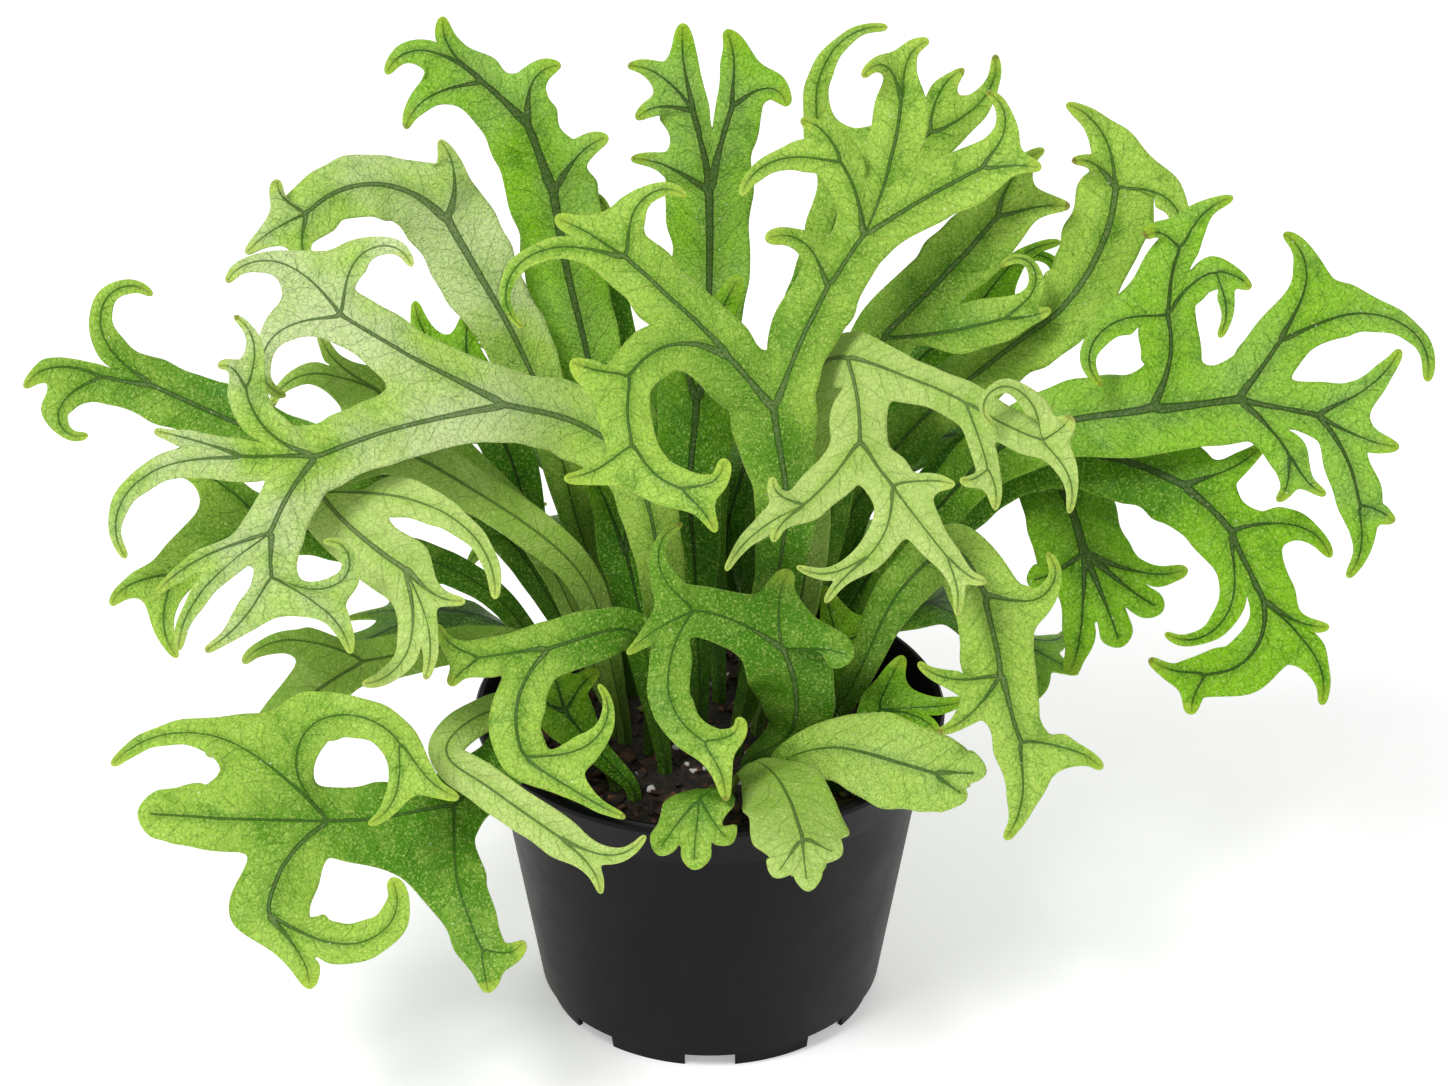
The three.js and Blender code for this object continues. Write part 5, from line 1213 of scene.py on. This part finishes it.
LEAVES = {
    "fresh": leaf_material("fresh_leaf", (0.06, 0.21, 0.002, 1), (0.38, 0.59, 0.075, 1),
                           (0.035, 0.11, 0.008, 1), (0.14, 0.19, 0.075, 1)),
    "deep": leaf_material("deep_leaf", (0.042, 0.17, 0.0005, 1), (0.23, 0.49, 0.008, 1),
                          (0.012, 0.05, 0.003, 1), (0.07, 0.11, 0.035, 1)),
    "pale": leaf_material("pale_leaf", (0.25, 0.43, 0.05, 1), (0.5, 0.66, 0.19, 1),
                          (0.065, 0.14, 0.02, 1), (0.18, 0.22, 0.085, 1)),
}
print(len(LEAVES), "leaf materials")

# %% [markdown]
# No two margins on the plant ripple in step. The fronds grow one after the other, each with its waves
# shifted a little from the last one's.

# %% Grow the fronds
RIPPLE_SHIFT = 0.9

for index, plan in enumerate(PLANS):
    tone = plan.get("tone", "fresh")
    piece = frond(plan, RIPPLE_SHIFT * index, LEAVES[tone])
print("grew", len(PLANS), "fronds")

# %% [markdown]
# The pot is moulded black plastic. Its wall is one profile spun about the upright axis: a rolled lip, a
# deep collar, a tapering side with a step near the base, and a raised floor. The lip's bead is a list of
# steps inward and down from its outermost, highest corner.

# %% Pot profile
POT_LIP_RADIUS = 75
POT_FOOT_RADIUS = 54.5
POT_HEIGHT = 104
POT_WALL = 1.6
COLLAR_HEIGHT = 15
COLLAR_STEP = 2.2
COLLAR_DRAFT = 1.4
COLLAR_EDGE = 0.8
COLLAR_INSIDE = 2
LIP_BEAD = [(0.9, 4), (0.1, 3), (0, 1.2), (0.9, 0), (2, 0), (2.8, 1)]
FLOOR_Z = 7
FLOOR_DRAFT = 1
FOOT_HEIGHT = 5.5
FOOT_EDGE = 0.6
FOOT_INSET = 1.8


def wall_radius(z):
    share = z / POT_HEIGHT
    return POT_FOOT_RADIUS + (POT_LIP_RADIUS - COLLAR_STEP - COLLAR_DRAFT - POT_FOOT_RADIUS) * share


def pot_profile():
    collar = POT_HEIGHT - COLLAR_HEIGHT
    floor_top = FLOOR_Z + POT_WALL
    return [
        (0, FLOOR_Z),
        (wall_radius(FLOOR_Z) - FOOT_INSET - POT_WALL - FLOOR_DRAFT, FLOOR_Z),
        (wall_radius(0) - FOOT_INSET - POT_WALL, 0),
        (wall_radius(0) - FOOT_INSET, 0),
        (wall_radius(FOOT_HEIGHT) - FOOT_INSET, FOOT_HEIGHT),
        (wall_radius(FOOT_HEIGHT + FOOT_EDGE), FOOT_HEIGHT + FOOT_EDGE),
        (wall_radius(collar - COLLAR_EDGE), collar - COLLAR_EDGE),
        (wall_radius(collar) + COLLAR_STEP, collar),
        *((POT_LIP_RADIUS - inward, POT_HEIGHT - down) for inward, down in LIP_BEAD),
        (wall_radius(collar) - POT_WALL, collar - COLLAR_INSIDE),
        (wall_radius(floor_top) - POT_WALL, floor_top),
        (0, floor_top),
    ]


# %% [markdown]
# Eight notches in the foot and eight drain holes let the water out. They are simple shapes in a solid
# wall, so boxes and drums cut them with one boolean.

# %% Notches and drain holes
NOTCH_COUNT = 8
NOTCH_DEPTH = 30
NOTCH_WIDTH = 16
NOTCH_HEIGHT = 4.2
DRAIN_RADIUS = 4.5
DRAIN_CIRCLE = 29
DRAIN_SIDES = 32


def cutters():
    """Boxes and drums where the mould leaves notches and drain holes."""
    bm = bmesh.new()
    for i in range(NOTCH_COUNT):
        turn = Matrix.Rotation(math.radians(360 * i / NOTCH_COUNT - 90), 4, "Z")
        box = turn @ Matrix.Translation((POT_FOOT_RADIUS, 0, 0)) @ Matrix.Diagonal(
            (NOTCH_DEPTH, NOTCH_WIDTH, 2 * NOTCH_HEIGHT, 1))
        bmesh.ops.create_cube(bm, size=1, matrix=box)
        half_turn = Matrix.Rotation(math.radians(180 / NOTCH_COUNT), 4, "Z")
        drum = turn @ half_turn @ Matrix.Translation((DRAIN_CIRCLE, 0, FLOOR_Z))
        bmesh.ops.create_cone(bm, cap_ends=True, segments=DRAIN_SIDES, radius1=DRAIN_RADIUS,
                              radius2=DRAIN_RADIUS, depth=4 * POT_WALL, matrix=drum)
    for v in bm.verts:
        v.co = to_frame(v.co)
    mesh = bpy.data.meshes.new("cutters")
    bm.to_mesh(mesh)
    bm.free()
    return bpy.data.objects.new("cutters", mesh)


# %% [markdown]
# Spinning the profile makes the whole wall at once. The boolean cuts it, and a bevel rounds every edge
# that a mould would round. Both are worked out into the mesh, so that the cutters can go.

# %% Pot moulding
POT_SIDES = 144
MOULD_ROUND = 0.45
BEVEL_ANGLE, CREASE_ANGLE = math.radians(32), math.radians(40)


def applied(piece):
    """The piece with its modifiers worked out into its mesh."""
    graph = bpy.context.evaluated_depsgraph_get()
    mesh = bpy.data.meshes.new_from_object(piece.evaluated_get(graph))
    piece.modifiers.clear()
    piece.data = mesh
    return piece


def make_pot(plastic):
    bm = bmesh.new()
    row = [bm.verts.new(to_frame(Vector((r, 0, z)))) for r, z in pot_profile()]
    edges = [bm.edges.new(pair) for pair in zip(row, row[1:])]
    bmesh.ops.spin(bm, geom=row + edges, cent=POT_CENTRE, axis=(0, 0, 1), angle=math.tau,
                   steps=POT_SIDES, use_merge=True)
    bmesh.ops.remove_doubles(bm, verts=bm.verts, dist=TINY)
    bmesh.ops.recalc_face_normals(bm, faces=bm.faces)
    pot = shaped("pot_moulding", bm, plastic)
    tool = cutters()
    bpy.context.scene.collection.objects.link(tool)
    cut = pot.modifiers.new("Notches", "BOOLEAN")
    cut.object, cut.operation, cut.solver = tool, "DIFFERENCE", "EXACT"
    round_off = pot.modifiers.new("Round", "BEVEL")
    round_off.width, round_off.segments = MOULD_ROUND * MM, 2
    round_off.limit_method, round_off.angle_limit = "ANGLE", BEVEL_ANGLE
    applied(pot)
    bpy.data.objects.remove(tool)
    pot.data.shade_smooth()
    pot.data.set_sharp_from_angle(angle=CREASE_ANGLE)
    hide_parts("pot")
    print("pot", len(pot.data.polygons), "faces")
    return pot


# %% [markdown]
# Nursery plastic is black with a soft shine. Up close it has a fine pebbled skin, faint rings from the
# mould and a few dull scuffs, which all show in the shine more than in the colour.

# %% Pot plastic
def pot_plastic():
    made, nodes, shader = material("nursery_plastic")
    place = nodes.place()
    pebble = nodes.noise(place, 2600, 2)
    scuff = nodes.noise(place, 60, 5, 0.65)
    scratches = nodes.add("ShaderNodeMapping", {"Vector": place, "Scale": (90, 90, 900)})
    rings = nodes.noise(scratches, 1.0, 3)
    dust = nodes.step(scuff, 0.5, 0.8)
    colour = nodes.mix(nodes.times(dust, 0.4), (0.002, 0.0019, 0.0022, 1), (0.006, 0.0058, 0.0062, 1))
    nodes.feed(shader["Base Color"], colour)
    rough = nodes.scaled(scuff, 0.22, 0.3)
    nodes.feed(shader["Roughness"], nodes.scaled(rings, 0.06, rough))
    height = nodes.scaled(rings, 0.6, pebble)
    nodes.feed(shader["Normal"], nodes.bump(height, 0.22, 0.00012))
    shader["Specular IOR Level"].default_value = 0.1
    return made


make_pot(pot_plastic())

# %% [markdown]
# Potting bark is a heap of loose bits. The heap's own surface is a disc that is pushed up and down by a
# formula, because it only shows in the gaps between them. It fills the pot down to its floor.

# %% Soil bed
SEAT_GAP = 0.35
SOIL_RELIEF = 1.6
SOIL_DISH = 1.5
SOIL_CELLS = 64
COARSE_SHARE, FINE_SHARE = 0.65, 0.35
COARSE_BUMPS, COARSE_PHASE = (9.1, 8.3), (1.2, -0.4)
FINE_BUMPS = (4.3, 5.1)
TOP_SPARE, FLOOR_SPARE = 0.5, 0.3
SOIL_RADIUS = wall_radius(SOIL_Z) - POT_WALL - SEAT_GAP - TOP_SPARE
SOIL_FLOOR = FLOOR_Z + POT_WALL + SEAT_GAP
SOIL_FLOOR_RADIUS = wall_radius(SOIL_FLOOR) - POT_WALL - SEAT_GAP - FLOOR_SPARE


def soil_lift(x, y):
    coarse = (math.sin(x / COARSE_BUMPS[0] + COARSE_PHASE[0])
              * math.cos(y / COARSE_BUMPS[1] + COARSE_PHASE[1]))
    fine = math.sin(x / FINE_BUMPS[0] - y / FINE_BUMPS[1])
    reach = math.hypot(x, y) / SOIL_RADIUS
    return SOIL_RELIEF * (COARSE_SHARE * coarse + FINE_SHARE * fine) - SOIL_DISH * reach * reach


def soil_bed(earth):
    """A square grid squeezed into a disc, with its rim drawn down to the pot's floor."""
    bm = bmesh.new()
    bmesh.ops.create_grid(bm, x_segments=SOIL_CELLS, y_segments=SOIL_CELLS, size=1)
    for v in bm.verts:
        x, y = v.co.x, v.co.y
        square, round_ = max(abs(x), abs(y)), math.hypot(x, y)
        scale = SOIL_RADIUS * (square / round_ if round_ else 0)
        v.co = Vector((x * scale, y * scale, SOIL_Z))
        v.co.z += soil_lift(v.co.x, v.co.y)
    rim = [e for e in bm.edges if e.is_boundary]
    wall = bmesh.ops.extrude_edge_only(bm, edges=rim)["geom"]
    for v in (item for item in wall if isinstance(item, bmesh.types.BMVert)):
        v.co = Vector((v.co.x * SOIL_FLOOR_RADIUS / SOIL_RADIUS,
                       v.co.y * SOIL_FLOOR_RADIUS / SOIL_RADIUS, SOIL_FLOOR))
    foot = [item for item in wall if isinstance(item, bmesh.types.BMEdge) and item.is_boundary]
    bmesh.ops.contextual_create(bm, geom=foot)
    bmesh.ops.recalc_face_normals(bm, faces=bm.faces)
    for v in bm.verts:
        v.co = to_frame(v.co)
    bed = shaped("soil_bed", bm, earth)
    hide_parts("soil")
    print("bed", len(bed.data.polygons), "faces")


# %% [markdown]
# On the bed lie bark chips, a few white crumbs of perlite and pinches of moss. Each bit is a cube or a
# ball with few faces, knocked out of shape by a seeded random draw, and laid where no stem is. A kind of
# bit has a count, a least and a greatest size, how rough it is, and for the balls how broad and how
# thick they are for their length. A bark chip draws its breadth and thickness.

# %% Bits of soil
CLEAR_RIM = 4
LARGEST_TILT = 0.6
LIFT = (0.05, 0.5)
BITS = {
    "bark": {"count": 620, "size": (1.6, 6.5), "rough": 0.2},
    "perlite": {"count": 46, "size": (1.8, 3.8), "rough": 0.12, "form": (0.85, 0.75)},
    "moss": {"count": 40, "size": (2.0, 4.5), "rough": 0.2, "form": (0.7, 0.35)},
}
CHIP_BREADTH, CHIP_THICKNESS, CHIP_BEVEL = (0.35, 0.8), (0.2, 0.5), 0.12


def chip_shape(kind, random_draw):
    """One bit as its own small bmesh in millimetres, with its size along each axis."""
    bm = bmesh.new()
    size = random_draw.uniform(*BITS[kind]["size"])
    if kind == "bark":
        bmesh.ops.create_cube(bm, size=1)
        form = random_draw.uniform(*CHIP_BREADTH), random_draw.uniform(*CHIP_THICKNESS)
    else:
        bmesh.ops.create_icosphere(bm, subdivisions=1, radius=0.5)
        form = BITS[kind]["form"]
    scale = (size, size * form[0], size * form[1])
    rough = BITS[kind]["rough"]
    for v in bm.verts:
        v.co += Vector([random_draw.uniform(-rough, rough) for _ in range(3)])
    if kind == "bark":
        bmesh.ops.bevel(bm, geom=bm.edges[:], offset=CHIP_BEVEL, segments=1, profile=0.5,
                        affect="EDGES", material=-1)
    bmesh.ops.scale(bm, verts=bm.verts, vec=scale)
    return bm, size, scale


def scatter(kind, finish, random_draw):
    """Bits of one kind all over the soil, as one piece."""
    heap = bmesh.new()
    roots = [Vector(plan["root"]) for plan in PLANS]
    placed = 0
    while placed < BITS[kind]["count"]:
        angle = random_draw.uniform(0, math.tau)
        reach = (SOIL_RADIUS - CLEAR_RIM) * math.sqrt(random_draw.random())
        x, y = reach * math.cos(angle), reach * math.sin(angle)
        bit, size, scale = chip_shape(kind, random_draw)
        if min((root - Vector((x, y))).length for root in roots) < size / 2 + STEM_HALF_WIDTH:
            bit.free()
            continue
        turn = (Matrix.Rotation(math.tau * random_draw.random(), 4, "Z")
                @ Matrix.Rotation(random_draw.uniform(-LARGEST_TILT, LARGEST_TILT), 4, "X")
                @ Matrix.Rotation(random_draw.uniform(-LARGEST_TILT, LARGEST_TILT), 4, "Y"))
        lift = Vector((x, y, SOIL_Z + soil_lift(x, y) + scale[2] * random_draw.uniform(*LIFT)))
        bmesh.ops.transform(bit, matrix=Matrix.Translation(lift) @ turn, verts=bit.verts)
        mesh = bpy.data.meshes.new("bit")
        bit.to_mesh(mesh)
        bit.free()
        heap.from_mesh(mesh)
        bpy.data.meshes.remove(mesh)
        placed += 1
    for v in heap.verts:
        v.co = to_frame(v.co)
    piece = shaped("soil_" + kind, heap, finish, smooth=kind != "bark")
    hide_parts("soil")
    print(kind, len(piece.data.polygons), "faces")


# %% [markdown]
# Damp bark is dark brown, with lighter reddish chips and fibres that run along each. The grain is noise
# stretched one way. Perlite is chalk white with pores, and moss is a dull yellow green.

# %% Soil finishes
SOIL_SEED = 11


def bark_finish():
    made, nodes, shader = material("bark_chips")
    place = nodes.place()
    patches = nodes.noise(place, 170, 2)
    fibres = nodes.add("ShaderNodeMapping", {"Vector": place, "Scale": (300, 1500, 1500)})
    grain = nodes.noise(fibres, 1.0, 4)
    colour = nodes.mix(nodes.step(patches, 0.38, 0.66), (0.014, 0.007, 0.004, 1), (0.11, 0.042, 0.016, 1))
    colour = nodes.mix(nodes.step(patches, 0.63, 0.74), colour, (0.3, 0.17, 0.08, 1))
    furrows = nodes.times(nodes.step(grain, 0.45, 0.7), 0.5)
    colour = nodes.mix(furrows, colour, (0.02, 0.011, 0.007, 1))
    nodes.feed(shader["Base Color"], colour)
    nodes.feed(shader["Roughness"], nodes.scaled(grain, 0.3, 0.6))
    nodes.feed(shader["Normal"], nodes.bump(grain, 0.7, 0.0006))
    return made


def crumbly(name, dark, light, scale, detail, spread, rough, relief):
    """A dull finish of two tones in crumbs: noise sets the tone, the roughness and the bumps."""
    made, nodes, shader = material(name)
    crumbs = nodes.noise(nodes.place(), scale, detail, 0.7)
    nodes.feed(shader["Base Color"], nodes.mix(nodes.step(crumbs, *spread), dark, light))
    nodes.feed(shader["Roughness"], nodes.scaled(crumbs, *rough))
    nodes.feed(shader["Normal"], nodes.bump(crumbs, *relief))
    return made


EARTH = crumbly("damp_earth", (0.006, 0.004, 0.003, 1), (0.05, 0.028, 0.016, 1), 420, 5,
                (0.4, 0.72), (0.2, 0.75), (1.0, 0.0015))
PERLITE = crumbly("perlite", (0.4, 0.39, 0.37, 1), (0.72, 0.71, 0.68, 1), 900, 4,
                  (0.35, 0.65), (0.15, 0.8), (0.8, 0.0004))
MOSS = crumbly("moss", (0.06, 0.08, 0.01, 1), (0.24, 0.28, 0.05, 1), 1400, 4,
               (0.35, 0.65), (0.15, 0.8), (0.8, 0.0012))

soil_bed(EARTH)
draw = random.Random(SOIL_SEED)
for kind, finish in (("bark", bark_finish()), ("perlite", PERLITE), ("moss", MOSS)):
    scatter(kind, finish, draw)


# %% [markdown]
# The plant stands on a pale ground that runs out of sight and throws light back up under the leaves. A
# large plane does this when it glows a little.

# %% Floor
FLOOR_HALF_SIZE = 6
FLOOR_LOOK = {
    "Base Color": (0.92, 0.92, 0.92, 1), "Roughness": 0.9, "Emission Color": (1, 1, 1, 1),
    "Emission Strength": 0.35,
}


def add_floor():
    bm = bmesh.new()
    bmesh.ops.create_grid(bm, x_segments=1, y_segments=1, size=FLOOR_HALF_SIZE)
    mesh = bpy.data.meshes.new("floor")
    bm.to_mesh(mesh)
    bm.free()
    floor = bpy.data.objects.new("floor", mesh)
    made, nodes, shader = material("pale_floor")
    for label, value in FLOOR_LOOK.items():
        nodes.feed(shader[label], value)
    mesh.materials.append(made)
    bpy.context.scene.collection.objects.link(floor)


add_floor()

# %% [markdown]
# The photograph is a product shot on white: soft light from all round, a little stronger from the upper
# left, and only a faint shadow under the pot. The sky is white, and three wide round lights give the
# leaves their shape. A light is a place, a point that it looks at, a width in metres and a power in
# watts.

# %% Light
SKY = 0.42
LIGHTS = {
    "key": ((-0.7, -0.9, 1.6), (0, 0, 0.18), 0.7, 24),
    "fill": ((1.3, -0.9, 0.9), (0, 0, 0.16), 1.0, 4),
    "back": ((0.2, 1.3, 1.3), (0, 0, 0.2), 0.9, 6),
}


def add_light(name, place, aim, size, power):
    lamp = bpy.data.lights.new(name, "AREA")
    lamp.shape, lamp.size, lamp.energy = "DISK", size, power
    light = bpy.data.objects.new(name, lamp)
    light.location = place
    light.rotation_mode = "QUATERNION"
    light.rotation_quaternion = (Vector(aim) - Vector(place)).to_track_quat("-Z", "Y")
    bpy.context.scene.collection.objects.link(light)


def add_sky(strength):
    world = bpy.data.worlds.new("studio")
    world.use_nodes = True
    background = world.node_tree.nodes["Background"]
    background.inputs["Color"].default_value = (1, 1, 1, 1)
    background.inputs["Strength"].default_value = strength
    bpy.context.scene.world = world


add_sky(SKY)
for name, light in LIGHTS.items():
    add_light(name, *light)
bpy.context.scene.view_settings.view_transform = "Standard"
print(len(LIGHTS), "lights")
